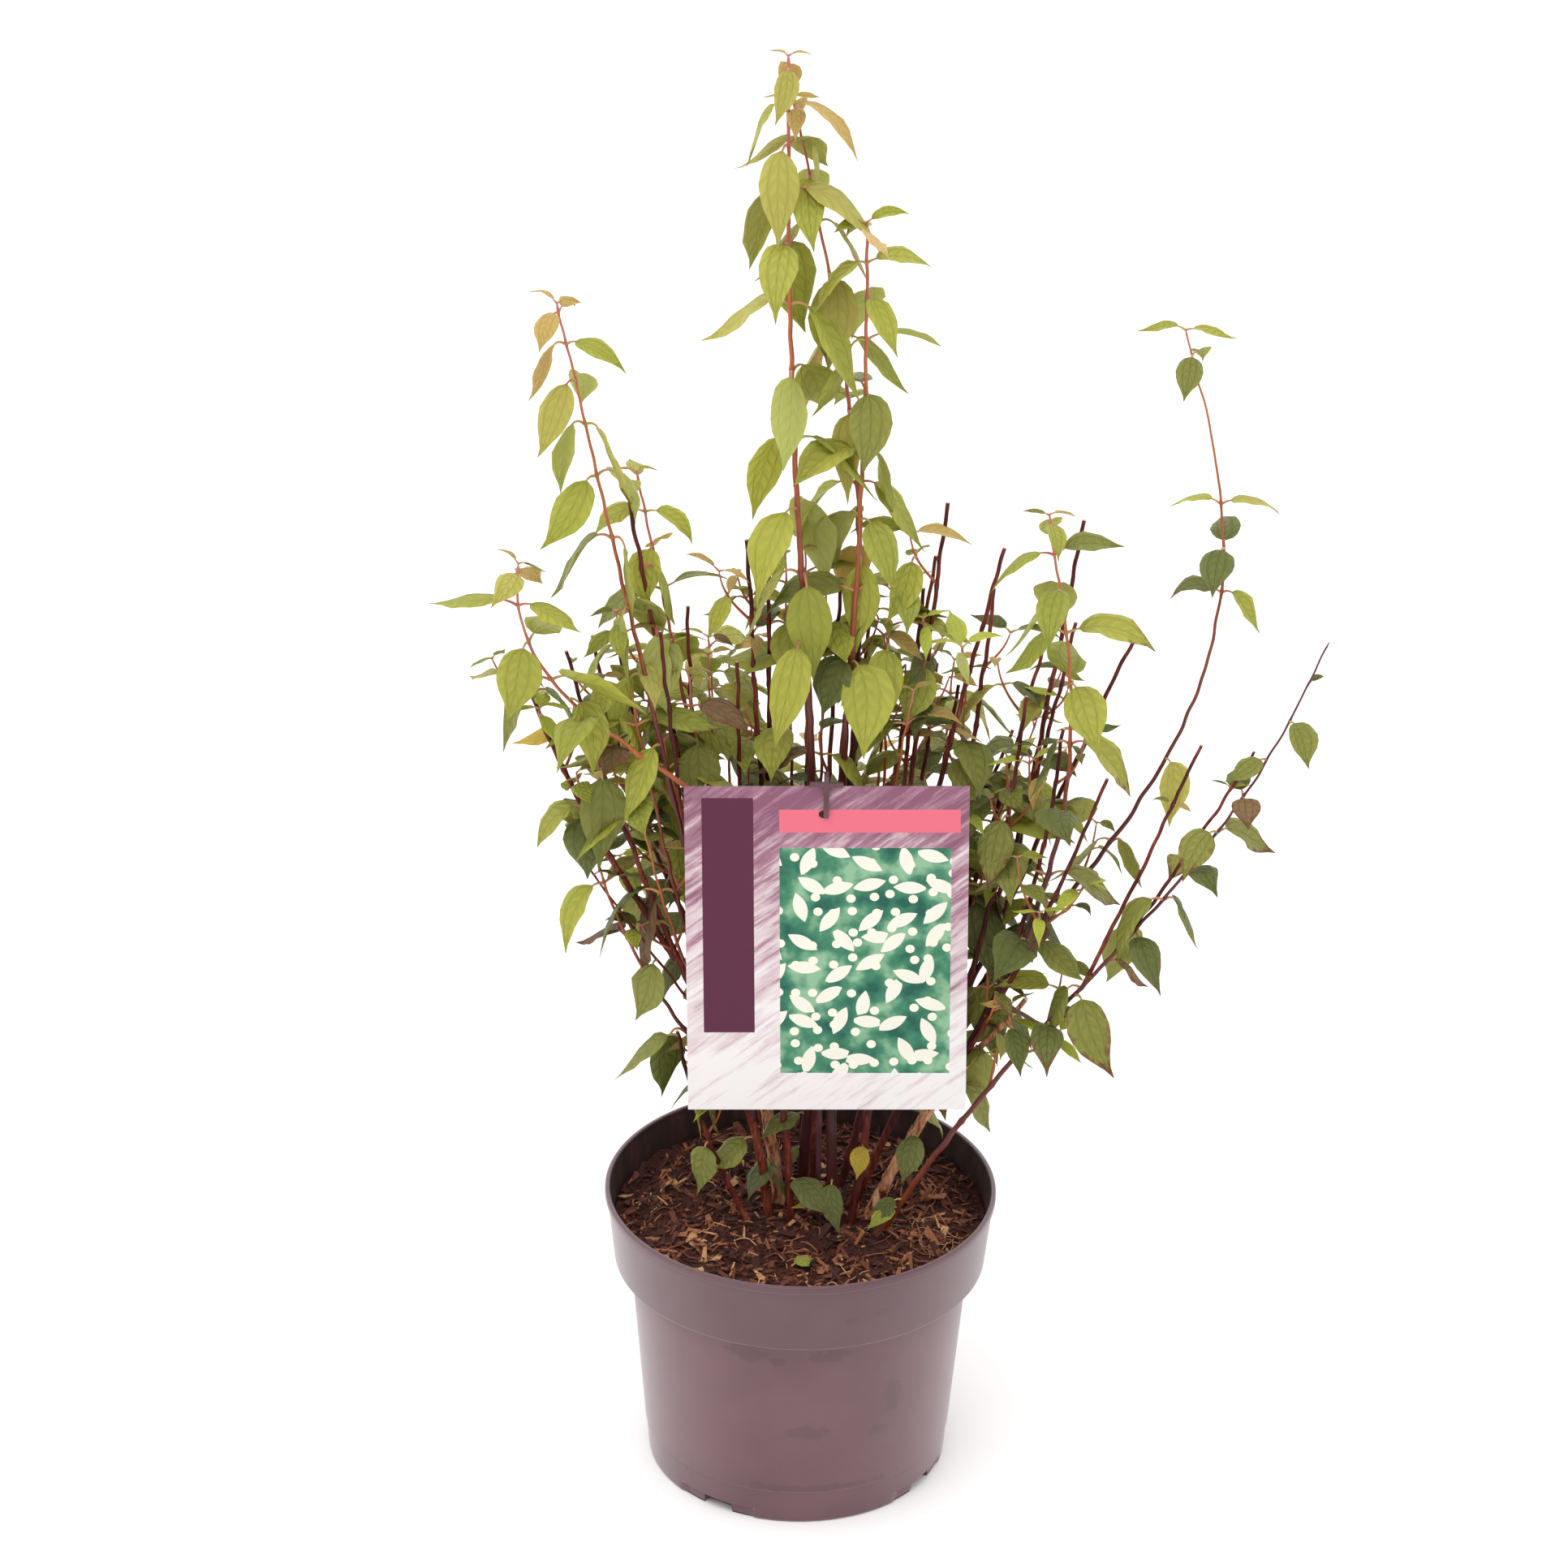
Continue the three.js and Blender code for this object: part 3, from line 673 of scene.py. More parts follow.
def limb_line(foot, tip, bow, sway):
    """Points a step apart from foot to tip, and their distances along the line.

    The middle bows by so many mm to the right and to the back, and the two
    halves sway opposite ways.
    """
    share = np.linspace(0, 1, LINE_POINTS)[:, None]
    line = np.array(foot, float) + (np.array(tip, float) - np.array(foot, float)) * share
    line[:, :2] += np.sin(np.pi * share) * bow + np.sin(2 * np.pi * share) * sway
    walked = np.concatenate([[0], np.cumsum(np.linalg.norm(np.diff(line, axis=0), axis=1))])
    count = max(4, int(round(walked[-1] / TUBE_STEP)))
    at = np.linspace(0, walked[-1], count + 1)
    return np.stack([np.interp(at, walked, line[:, k]) for k in range(3)], 1), at


def in_card_room(points):
    inside = np.ones(len(points), bool)
    for k, (low, high) in enumerate(CARD_ROOM):
        inside &= (points[:, k] > low) & (points[:, k] < high)
    return inside.any()


def fork(name, height):
    """The place on a limb at a height, where a younger one starts."""
    line = limbs[name]
    return tuple(line[np.argmax(line[:, 2] >= height)])


def stem(foot, tip, radii, ages, nodes, bow=(0, 0), sway=(0, 0), kind="young", name=None):
    """One tapering stem; nodes are distances from the tip. Returns its length and a node reader."""
    cut = kind != "young"
    line, at = limb_line(foot, tip, bow, sway)
    total = at[-1]
    half = radii[1] + (radii[0] - radii[1]) * (1 - at / total) ** TAPER[kind]
    for node in nodes:
        half = half * (1 + NODE_SWELL * np.exp(-((at - (total - node)) / NODE_LENGTH) ** 2))
    if not cut:
        half[-1] *= TIP_SHARE
    layers = [Vector((k * WANDER_LAYER, 0, 0)) for k in range(2)]
    wander = np.array([[noise.noise(Vector(p) * WANDER_PER_MM + layer) for layer in layers] for p in line])
    fade = np.minimum(1.0, at / WANDER_FROM)[:, None] * min(1.0, total / WANDER_FULL) * WANDER
    line = line + np.column_stack([wander, np.zeros(len(line))]) * fade
    if name:
        limbs[name] = line
    body, outward = tube_points(line, [[h] * STEM_SIDES for h in half], STEM_SIDES)
    relief = np.array([[noise.noise(Vector(p) * Vector(RELIEF_PER_MM)) for p in ring] for ring in body])
    body = body + outward * (relief * half[:, None] * RELIEF[kind])[:, :, None]
    age = np.repeat(np.interp(at, np.linspace(0, total, len(ages)), ages), STEM_SIDES)
    rows = len(line)
    faces = tube_faces(rows, STEM_SIDES)
    slots = [0] * (len(faces) - 1) + [1 if cut else 0]
    around = np.tile(np.arange(STEM_SIDES) / STEM_SIDES, rows)
    uv = np.column_stack([around, np.repeat(at / UV_MM, STEM_SIDES)])
    bark[kind].add(body.reshape(-1, 3), faces, slots, uv, age=age)

    def at_node(distance):
        where = np.clip(total - distance, 0, total)
        place = np.array([np.interp(where, at, line[:, k]) for k in range(3)])
        ahead = np.array([np.interp(min(where + NODE_REACH, total), at, line[:, k]) for k in range(3)])
        behind = np.array([np.interp(max(where - NODE_REACH, 0), at, line[:, k]) for k in range(3)])
        direction = (ahead - behind) / np.linalg.norm(ahead - behind)
        return place, direction, np.interp(where, at, half)

    return total, at_node


# Leaf blade: an oval with a rounded foot and a long drawn-out tip, toothed a
# little and folded along its main vein. It has 36 faces above and 36 below, with
# the rows closest at the foot.
LEAF_ROWS = 10
LEAF_CROWDED = 1.3
LEAF_SHARES = np.linspace(0, 1, LEAF_ROWS) ** LEAF_CROWDED
LEAF_WIDEST = 0.37
LEAF_FOOT = (0.002, 2.2, 0.55)
LEAF_TIP = (1.02, 0.95)
LEAF_COLUMNS = np.array([-1, -0.55, 0, 0.55, 1])
LEAF_THICK = 0.32
LEAF_TOOTH = 0.014
LEAF_LOP = 0.1
LEAF_CUP = (0.05, 0.4)
LEAF_BOWL = 0.62
LEAF_RIPPLES = ((0.06, 17), (0.05, 9))
LEAF_TWIST = 0.7
LEAF_TWIST_BUILDS = 1.5
LEAF_UPRIGHT = 0.1
LEAF_SIDEWAYS = 0.1
LEAF_SWAY = 0.11
LEAF_SWAY_WAVE = 4.4
LEAF_RISE = (0.6, 1.45)
LEAF_RISE_VARIES = 0.12
LEAF_FALL = (-0.35, 0.85)
LEAF_DEEPEST = -1.75
LEAF_PULLS = (0.3, 0.38)
LEAF_CLEAR = 1
CURVE_POINTS = 41
STALK_SHARE = (0.12, 0.17)
STALK_HALF = (0.36, 0.006)
STALK_TAPER = (1.3, 0.7)
STALK_ROWS = 7
STALK_SIDES = 6
NEAR = 0.02
ROWS, COLS = LEAF_ROWS, len(LEAF_COLUMNS)
UP = np.array([0.0, 0.0, 1.0])


def leaf_outline(shares):
    """The blade's half width along its length, 1 where it is widest."""
    start, fullness, rounding = LEAF_FOOT
    end, drawn_out = LEAF_TIP
    foot = (1 - np.minimum(1, np.abs(1 - (shares + start) / LEAF_WIDEST)) ** fullness) ** rounding
    tip = (0.5 + 0.5 * np.cos(math.pi * (shares - LEAF_WIDEST) / (end - LEAF_WIDEST))) ** drawn_out
    return np.where(shares < LEAF_WIDEST, foot, tip)


LEAF_HALF = leaf_outline(LEAF_SHARES)


def leaf_faces():
    """Upper faces, then lower ones; the lower side shares the rim.

    A lower face starts at the same corner as the one above it, so that a
    twisted blade splits on the same diagonal on both sides and stays whole.
    """
    lower = {}
    extra = ROWS * COLS
    for r in range(1, ROWS - 1):
        for c in range(1, COLS - 1):
            lower[(r, c)] = extra
            extra += 1
    upper_faces, lower_faces = [], []
    for r in range(ROWS - 1):
        for c in range(COLS - 1):
            corners = [(r, c), (r, c + 1), (r + 1, c + 1), (r + 1, c)]
            upper_faces.append([a * COLS + b for a, b in corners])
            below = [lower.get(corner, corner[0] * COLS + corner[1]) for corner in corners]
            lower_faces.append(below[:1] + below[:0:-1])
    return upper_faces, lower_faces


UPPER_FACES, LOWER_FACES = leaf_faces()
LEAF_FACES = UPPER_FACES + LOWER_FACES


def add_leaf(group, start, chord, width, tones, draw, roll=0.0, wear=0.0, fold=0.3):
    """A leaf from its bud to its tip: the stalk leaves upward, then the blade arches over and down.

    The chord runs from bud to tip; roll turns the upper face toward the front.
    """
    start, chord = np.array(start, float), np.array(chord, float)
    length = np.linalg.norm(chord)
    flat = np.array([chord[0], chord[1], 0.0])
    if np.linalg.norm(flat) < LEAF_UPRIGHT * length:
        flat = np.array([0.0, -1.0, 0.0])
    out = flat / np.linalg.norm(flat)
    rise = math.atan2(chord[2], np.dot(chord, out))
    least, most = LEAF_RISE
    first = min(most, max(least, rise + least)) + draw.uniform(-LEAF_RISE_VARIES, LEAF_RISE_VARIES)
    last = max(LEAF_DEEPEST, rise - draw.uniform(*LEAF_FALL))
    a = start + (out * math.cos(first) + UP * math.sin(first)) * length * LEAF_PULLS[0]
    end = start + chord
    b = end - (out * math.cos(last) + UP * math.sin(last)) * length * LEAF_PULLS[1]
    t = np.linspace(0, 1, CURVE_POINTS)[:, None]
    across = np.cross(out, UP)
    sway = draw.uniform(-LEAF_SWAY, LEAF_SWAY) * length
    curve = start * (1 - t) ** 3 + a * 3 * t * (1 - t) ** 2 + b * 3 * t * t * (1 - t) + end * t ** 3
    curve = curve + across * sway * np.sin(t * LEAF_SWAY_WAVE) * t
    walked = np.concatenate([[0], np.cumsum(np.linalg.norm(np.diff(curve, axis=0), axis=1))])
    stalk = draw.uniform(*STALK_SHARE)
    along = LEAF_SHARES

    def on_curve(share):
        return np.stack([np.interp(share * walked[-1], walked, curve[:, k]) for k in range(3)], 1)

    shares = stalk + (1 - stalk) * along
    midline = on_curve(shares)
    heading = on_curve(np.minimum(shares + NEAR, 1)) - on_curve(np.maximum(shares - NEAR, 0))
    heading /= np.linalg.norm(heading, axis=1)[:, None]
    above = np.cross(across, heading)
    above /= np.linalg.norm(above, axis=1)[:, None]
    side = np.cross(heading, above)
    twist = roll * (-1 if across[1] > LEAF_SIDEWAYS else 1)
    twist = twist + draw.uniform(-LEAF_TWIST, LEAF_TWIST) * along ** LEAF_TWIST_BUILDS
    above, side = (above * np.cos(twist)[:, None] + side * np.sin(twist)[:, None],
                   side * np.cos(twist)[:, None] - above * np.sin(twist)[:, None])
    half_width = LEAF_HALF * width / 2
    reach = np.abs(LEAF_COLUMNS)
    tooth = np.where(np.arange(ROWS) % 2 == 0, LEAF_TOOTH, -LEAF_TOOTH)
    lop = 1 + draw.uniform(-LEAF_LOP, LEAF_LOP) * np.sign(LEAF_COLUMNS)
    spread = LEAF_COLUMNS[None, :] * lop[None, :] * half_width[:, None]
    spread = spread * (1 + np.where(reach == 1, 1, 0)[None, :] * tooth[:, None])
    cup = draw.uniform(*LEAF_CUP)
    bowl = fold * np.sin(np.pi * reach * LEAF_BOWL) - cup * reach ** 2
    relief = bowl[None, :] + np.zeros((ROWS, 1))
    for (high, waves), over in zip(LEAF_RIPPLES, (reach ** 2, LEAF_COLUMNS)):
        relief = relief + high * np.sin(along * waves + draw.uniform(0, 6))[:, None] * over[None, :]
    height = relief * half_width[:, None]
    upper = midline[:, None, :] + side[:, None, :] * spread[:, :, None]
    upper = upper + above[:, None, :] * height[:, :, None]
    lower = upper[1:-1, 1:-1] - above[1:-1, None, :] * LEAF_THICK
    points = np.concatenate([upper.reshape(-1, 3), lower.reshape(-1, 3)])
    if in_card_room(points) or points[:, 2].min() < SOIL_TOP + LEAF_CLEAR:
        return
    uv_upper = np.stack(np.meshgrid(LEAF_COLUMNS / 2 + 0.5, along), -1)
    uv = np.concatenate([uv_upper.reshape(-1, 2), uv_upper[1:-1, 1:-1].reshape(-1, 2)])
    face_slots = [tones[0]] * len(UPPER_FACES) + [tones[1]] * len(LOWER_FACES)
    foliage.setdefault(group, Heap()).add(points, LEAF_FACES, face_slots, uv, tint=draw.random(), wear=wear)
    thin = STALK_HALF[0] + length * STALK_HALF[1]
    stalk_line = on_curve(np.linspace(0, stalk + NEAR, STALK_ROWS))
    halves = np.linspace(thin * STALK_TAPER[0], thin * STALK_TAPER[1], STALK_ROWS)
    body, _ = tube_points(stalk_line, halves, STALK_SIDES)
    petioles.add(body.reshape(-1, 3), tube_faces(STALK_ROWS, STALK_SIDES), 0)


# Leaf tones by name as (upper face, lower face), and how each kind of shoot
# deals them out, with how worn its leaves are. Widths are shares of a leaf's
# length, and drops are degrees below level.
TONES = {
    "bronze": (4, 8), "khaki": (10, 8), "gold": (5, 8), "fresh": (11, 7), "lime": (0, 7),
    "green": (1, 7), "olive": (2, 9), "deep": (3, 9), "dry": (6, 9),
}
DEALS = {
    "spire": (["lime"] * 5 + ["green"] * 6 + ["olive"], 0.15),
    "crown": (["lime"] * 5 + ["green"] * 7 + ["olive"] * 3 + ["deep"], 0.7),
    "shade": (["olive"] * 5 + ["deep"] * 6 + ["green"], 1.0),
    "fresh": (["fresh"], 0.0),
}
WIDTHS = {"spire": (0.35, 0.45), "crown": (0.42, 0.57), "shade": (0.42, 0.57), "fresh": (0.28, 0.4)}
DROPS = {"spire": (26, 78), "crown": (0, 60), "shade": (0, 68), "fresh": (-20, 50)}
BRONZE_AT_TIP = {"spire": 1.3, "crown": 0.5, "shade": 0.1, "fresh": 0.0}
BRONZE_PAIRS = {"spire": 3, "crown": 1, "shade": 1, "fresh": 1}
BRONZE_FADE = {"spire": 2.6, "crown": 1.3, "shade": 1.0, "fresh": 1.0}
TIP_NARROWER = 0.32
TIP_FOLD = 0.5
FOLD = 0.32
TURNED_SHARE = 0.07
TURNED_ROLL = 0.8 * math.pi
ROLL = (-0.3, 0.4)
GOLD_SHARE = 0.015
GOLD_WEAR = 0.3
DRIED_SHARE = 0.04
DRIED_WEAR = 0.9
DRIED_BELOW = 420
FACING_LEAST = 0.2
BUD_OUT = 0.7
SHADE_BELOW = 385
SHADE_RIGHT = 0.9
SHADE_DEPTH = 160


def deal_tone(deal, order, place, draw):
    """Bronze toward the very tip, then the shoot's own greens, dealt darker low down and to the right as
    painted shade.
    """
    shade_top = SHADE_BELOW + SHADE_RIGHT * max(0, place[0])
    if deal == "crown" and draw.random() < (shade_top - place[2]) / SHADE_DEPTH:
        deal = "shade"
    tones, wear = DEALS[deal]
    if draw.random() < BRONZE_AT_TIP[deal] * math.exp(-order / BRONZE_FADE[deal]):
        return "bronze" if order < draw.uniform(0, BRONZE_PAIRS[deal]) else "khaki", 0.0
    if deal in ("crown", "shade") and draw.random() < GOLD_SHARE:
        return "gold", GOLD_WEAR
    if deal in ("crown", "shade") and place[2] < DRIED_BELOW and draw.random() < DRIED_SHARE:
        return "dry", DRIED_WEAR
    return draw.choice(tones), wear * draw.random() ** 2


def turned_about(vector, axis, angle):
    return (vector * math.cos(angle) + np.cross(axis, vector) * math.sin(angle)
            + axis * np.dot(axis, vector) * (1 - math.cos(angle)))


def pair_direction(direction, turn):
    """A unit direction square to the stem; turn 0 lies to the side, 90 degrees to the back."""
    side = np.array([1.0, 0.0, 0.0])
    side = side - direction * np.dot(side, direction)
    side /= np.linalg.norm(side)
    return turned_about(side, direction, math.radians(turn))


def one_leaf(group, place, facing, half, length, drop_deg, order, draw, deal):
    """A leaf from a bud, out along its facing and down by the drop; order counts pairs from the tip."""
    flat = np.array([facing[0], facing[1], 0.0])
    flat /= max(np.linalg.norm(flat), FACING_LEAST)
    drop = math.radians(drop_deg)
    chord = (flat * math.cos(drop) - UP * math.sin(drop)) * length
    width = length * draw.uniform(*WIDTHS[deal]) * (1 - TIP_NARROWER * math.exp(-order))
    tone, wear = deal_tone(deal, order, place, draw)
    roll = TURNED_ROLL if draw.random() < TURNED_SHARE else draw.uniform(*ROLL)
    add_leaf(group, place + facing * half * BUD_OUT, chord, width, TONES[tone], draw, roll=roll, wear=wear,
             fold=TIP_FOLD if order == 0 else FOLD)


PAIR_SWING = 20
TIP_SWING = 15
GROWN_START = 0.95
GROWN_PAIRS = 1.9
HANG_PAIRS = 0.9
LEAF_VARIES = (0.85, 1.1)


def leaf_pairs(group, at_node, nodes, size, draw, deal, turn=0.0, gaps=0.0, first=0, vary=LEAF_VARIES):
    """Pairs of leaves at nodes, each pair a quarter turn on from the last, older ones larger and lower."""
    for order, node in enumerate(nodes):
        place, direction, half = at_node(node)
        grown = 1 - math.exp(-(order + first + GROWN_START) / GROWN_PAIRS)
        hang = 1 - math.exp(-order / HANG_PAIRS)
        for flip in (0, 180):
            if draw.random() < gaps:
                continue
            swing = draw.uniform(-PAIR_SWING, PAIR_SWING)
            facing = pair_direction(direction, turn + order * 90 + flip + swing)
            length = size * grown * draw.uniform(*vary)
            drop = draw.uniform(-TIP_SWING, TIP_SWING) + hang * draw.uniform(*DROPS[deal])
            one_leaf(group, place, facing, half, length, drop, order, draw, deal)


TIP_NODE = 0.6


def spaced(first, growth, largest, count, crowd=0):
    """Node distances from the tip: the first gap, each next one longer up to the largest.

    A crowd puts one more node just that far below the tip.
    """
    gap, where, found = first, TIP_NODE + crowd, [TIP_NODE] if crowd else []
    for _ in range(count):
        found.append(where)
        where += gap
        gap = min(gap * growth, largest)
    return found


TWIG_OUT = 0.6
TWIG_UP = 0.45
TWIG_BOW = 0.12
TWIG_FOOT = (0.7, 0.004)
TWIG_TIP = 0.4
TWIG_AGES = (0.4, 0.05)
TWIG_ONE_PAIR = 26
TWIG_SECOND = 0.4
TWIG_GAPS = 0.12
FRESH_SHARE = 0.2
FRESH_SIZE = 0.8
FRESH_NODE = 4


def side_shoot(group, start, way, reach, draw, deal, size):
    """A short leafy twig from a bud: out along its way, then up."""
    tip = start + way * reach * TWIG_OUT + UP * reach * TWIG_UP
    nodes = [TIP_NODE] if reach < TWIG_ONE_PAIR else [TIP_NODE, reach * TWIG_SECOND]
    if draw.random() < FRESH_SHARE:
        deal, size, nodes = "fresh", size * FRESH_SIZE, [TIP_NODE, FRESH_NODE]
    radii = (TWIG_FOOT[0] + reach * TWIG_FOOT[1], TWIG_TIP)
    _, at_node = stem(start, tip, radii, TWIG_AGES, nodes, bow=way[:2] * reach * TWIG_BOW)
    leaf_pairs(group, at_node, nodes, size, draw, deal, turn=draw.uniform(0, 180), gaps=TWIG_GAPS,
               first=draw.choice((0, 1)))


BUD_SWING = 25
LEAF_ONLY_SHARE = 0.35
BUD_LEAF_VARIES = (0.85, 1.2)
BUD_LEAF_DROP = (20, 78)
BUD_LEAF_ORDER = 3
SHOOT_ALONG = 0.6
SHOOT_OUT = 0.8
PATH_SHARES = (0.3, 0.6, 1.0)


def branch_off(group, at_node, buds, draw, deal, reach, size, chance, low):
    """Side shoots, or single leaves, from the buds in pairs down a cane."""
    for order, bud in enumerate(buds):
        place, direction, half = at_node(bud)
        for flip in (0, 180):
            pick = draw.random()
            swing = draw.uniform(-BUD_SWING, BUD_SWING)
            facing = pair_direction(direction, order * 90 + flip + swing)
            way = direction * SHOOT_ALONG + facing * SHOOT_OUT
            way /= np.linalg.norm(way)
            long = draw.uniform(*reach)
            path = np.array([place + way * long * share for share in PATH_SHARES])
            if pick > chance or place[2] < low or in_card_room(path):
                continue
            if pick > chance * (1 - LEAF_ONLY_SHARE):
                length = size * draw.uniform(*BUD_LEAF_VARIES)
                drop = draw.uniform(*BUD_LEAF_DROP)
                one_leaf(group, place, facing, half, length, drop, BUD_LEAF_ORDER, draw, deal)
            else:
                side_shoot(group, place, way, long, draw, deal, size)


SHOOT_AGES = np.array((1.0, 0.95, 0.8, 0.45, 0.2, 0.05))
MARKS_APART = 4
BARE_FOOT = 20
LIMB_TURN = 25


def limb(name, group, foot, tip, radii, kind="young", bow=(0, 0), sway=(0, 0), ages=SHOOT_AGES, seed=1,
         pairs=(), first=0, size=40, deal="spire", gaps=0.0, vary=LEAF_VARIES, buds=(), reach=(18, 42),
         chance=0.7, low=180):
    """One cane or shoot with all it carries. Pairs and buds are distances from the tip."""
    draw = random.Random(seed)
    marks = sorted(set(pairs) | set(buds))
    apart = [mark for i, mark in enumerate(marks) if i == 0 or mark - marks[i - 1] > MARKS_APART]
    length, at_node = stem(foot, tip, radii, ages, apart, bow, sway, kind, name)
    leafy = [pair for pair in pairs if pair < length - BARE_FOOT]
    leaf_pairs(group, at_node, leafy, size, draw, deal, turn=draw.uniform(-LIMB_TURN, LIMB_TURN), gaps=gaps,
               first=first, vary=vary)
    budding = [bud for bud in buds if bud < length - BARE_FOOT]
    branch_off(group, at_node, budding, draw, deal, reach, size, chance, low)


# Canes from the compost: foot (right, back), tip (right, back, up), bow, sway,
# radii at foot and tip, bark, leaf group and how many bud pairs carry side shoots.
CANE_FOOT = 127
OLD_AGES = (1.0, 0.9)
CANES = {
    "low_left": ((-23, -9), (-60, -15, 240), (-5, 0), (0, 0), (1.6, 0.8), "old", "left", 4),
    "old_left": ((-15, -2), (-135, -5, 430), (12, -6), (8, 0), (2.3, 0.95), "old", "left", 11),
    "tan_left": ((-10, 8), (-90, 15, 360), (18, -2), (0, 0), (3.3, 1.1), "peeling", "left", 7),
    "mid_left": ((-4, -6), (-30, 5, 330), (4, 0), (0, 0), (2.0, 1.0), "old", "centre", 3),
    "mid_right": ((24, -10), (55, 10, 330), (-4, 2), (2, 0), (2.2, 1.0), "old", "centre", 3),
    "back_left": ((-9, 22), (-60, 70, 325), (0, 0), (0, 0), (2.2, 1.0), "old", "back", 5),
    "back": ((6, 26), (8, 86, 310), (0, -6), (0, 0), (2.2, 1.0), "old", "back", 4),
    "back_right": ((18, 22), (60, 60, 285), (0, 0), (0, 0), (2.2, 1.0), "old", "back", 4),
    "dark_right": ((26, 12), (110, 10, 290), (-9, 2), (0, 0), (2.2, 1.2), "old", "right", 4),
    "tan_right": ((32, -2), (105, -15, 260), (-7, 2), (0, 0), (3.1, 1.2), "peeling", "right", 3),
}
for number, (name, cane) in enumerate(CANES.items()):
    foot, tip, bow, sway, radii, kind, group, bud_pairs = cane
    limb(name, group, (*foot, CANE_FOOT), tip, radii, kind, bow, sway, OLD_AGES, seed=10 + number,
         buds=spaced(18, 1.1, 30, bud_pairs + 1)[1:], size=38, deal="shade", low=176, chance=0.6)
limb("main", "spires", (0, 14, CANE_FOOT), (-14, -6, 724), (3.0, 0.75), bow=(6, -16), sway=(4, 0), seed=21,
     pairs=spaced(16, 1.15, 33, 11, 6), size=53, first=-0.5)
limb("second", "spires", (16, -4, CANE_FOOT), (22, -8, 648), (2.8, 0.7), bow=(-2, 1), sway=(-3, 0), seed=22,
     pairs=spaced(14, 1.2, 36, 9, 5), size=44, deal="crown")
limb("low_right", "low_right", (38, -14, CANE_FOOT), (234, -46, 464), (1.65, 0.45), "young", (8, -4), (-8, 0),
     (0.45, 0.68, 0.72, 0.75, 0.7), seed=23, pairs=spaced(22, 1.0, 22, 14)[1:], size=38, deal="shade",
     gaps=0.22, vary=(0.6, 1.2), buds=spaced(24, 1.0, 24, 14)[9:], chance=0.5, low=190)

# Young shoots that fork from a cane: parent, height of the fork, tip, bow, sway,
# foot radius, group, leaf pairs, leaf size, the tones they are dealt and how old
# the bark is at the foot.
SHOOTS = {
    "behind": ("main", 200, (-12, 2, 702), (27, 3), (-2, 0), 2.2, "spires", 9, 45, "spire", 1.0),
    "spire_left": ("old_left", 185, (-115, -24, 614), (0, -4), (0, 0), 2.1, "left", 9, 46, "spire", 1.0),
    "spray_left": ("main", 318, (-133, -26, 488), (-27, -12), (9, 0), 1.9, "left", 7, 52, "crown", 0.38),
    "inner_left": ("tan_left", 235, (-81, 14, 517), (2, 0), (0, 0), 1.6, "left", 7, 38, "crown", 1.0),
    "spire_right": ("tan_right", 200, (106, -28, 517), (32, -6), (0, 0), 1.9, "right", 9, 42, "crown", 1.0),
}
for number, (name, shoot) in enumerate(SHOOTS.items()):
    parent, height, tip, bow, sway, thick, group, count, size, deal, foot_age = shoot
    limb(name, group, fork(parent, height), tip, (thick, 0.55), bow=bow, sway=sway, seed=30 + number,
         ages=SHOOT_AGES * foot_age, pairs=spaced(15, 1.2, 36, count, 5), size=size, deal=deal, first=-0.3)

# The wand: a bare arching shoot with a small tuft and one stretch of leaves.
WAND_LEAFY = (75, 150)
wand_leafy = [mark for mark in spaced(22, 1.0, 22, 8) if WAND_LEAFY[0] < mark < WAND_LEAFY[1]]
limb("wand", "right", fork("dark_right", 235), (168, 28, 585), (1.5, 0.45), bow=(62, 4), ages=(1.0, 0.12),
     seed=41, pairs=[TIP_NODE, 14] + wand_leafy, first=1, size=34, deal="crown", vary=(0.75, 1.15),
     buds=(270, 295, 320), chance=0.8)

# Old tops, cut back bare above their last buds: parent, height of the fork, tip.
OLD_TOPS = {
    "torn_top": ("dark_right", 230, (150, 0, 445)),
    "dark_right_top": ("dark_right", 260, (125, 15, 495)),
    "dark_centre_top": ("dark_right", 215, (85, 15, 460)),
    "left_top": ("old_left", 200, (-85, 0, 515)),
    "inner_left_top": ("mid_left", 230, (-30, 10, 485)),
    "middle_top": ("mid_left", 250, (-20, 20, 480)),
    "inner_right_top": ("mid_right", 230, (62, 10, 505)),
    "right_top": ("mid_right", 260, (88, 5, 485)),
}
SIDES_FROM = 80
for number, (name, old_top) in enumerate(OLD_TOPS.items()):
    parent, height, tip = old_top
    group = "right" if tip[0] > SIDES_FROM else "left" if tip[0] < -SIDES_FROM else "centre"
    limb(name, group, fork(parent, height), tip, (1.4, 0.95), "old", seed=60 + number, ages=OLD_AGES,
         deal="crown", size=42, buds=spaced(40, 1.0, 30, 6)[1:], chance=0.4, low=240)

limb("side_inner", "low_right", fork("low_right", 275), (180, -30, 403), (1.1, 0.8), "old", (2, 4), seed=43,
     pairs=(34,), size=26, deal="crown")
limb("side_outer", "low_right", fork("low_right", 296), (204, -38, 404), (1.0, 0.7), "old", (2, 0), seed=44,
     pairs=(21,), size=26, deal="crown")
limb("thin_low", "left", fork("old_left", 225), (-102, -16, 327), (0.8, 0.5), "old", seed=45,
     pairs=(4, 40), size=34, deal="crown", gaps=0.4)

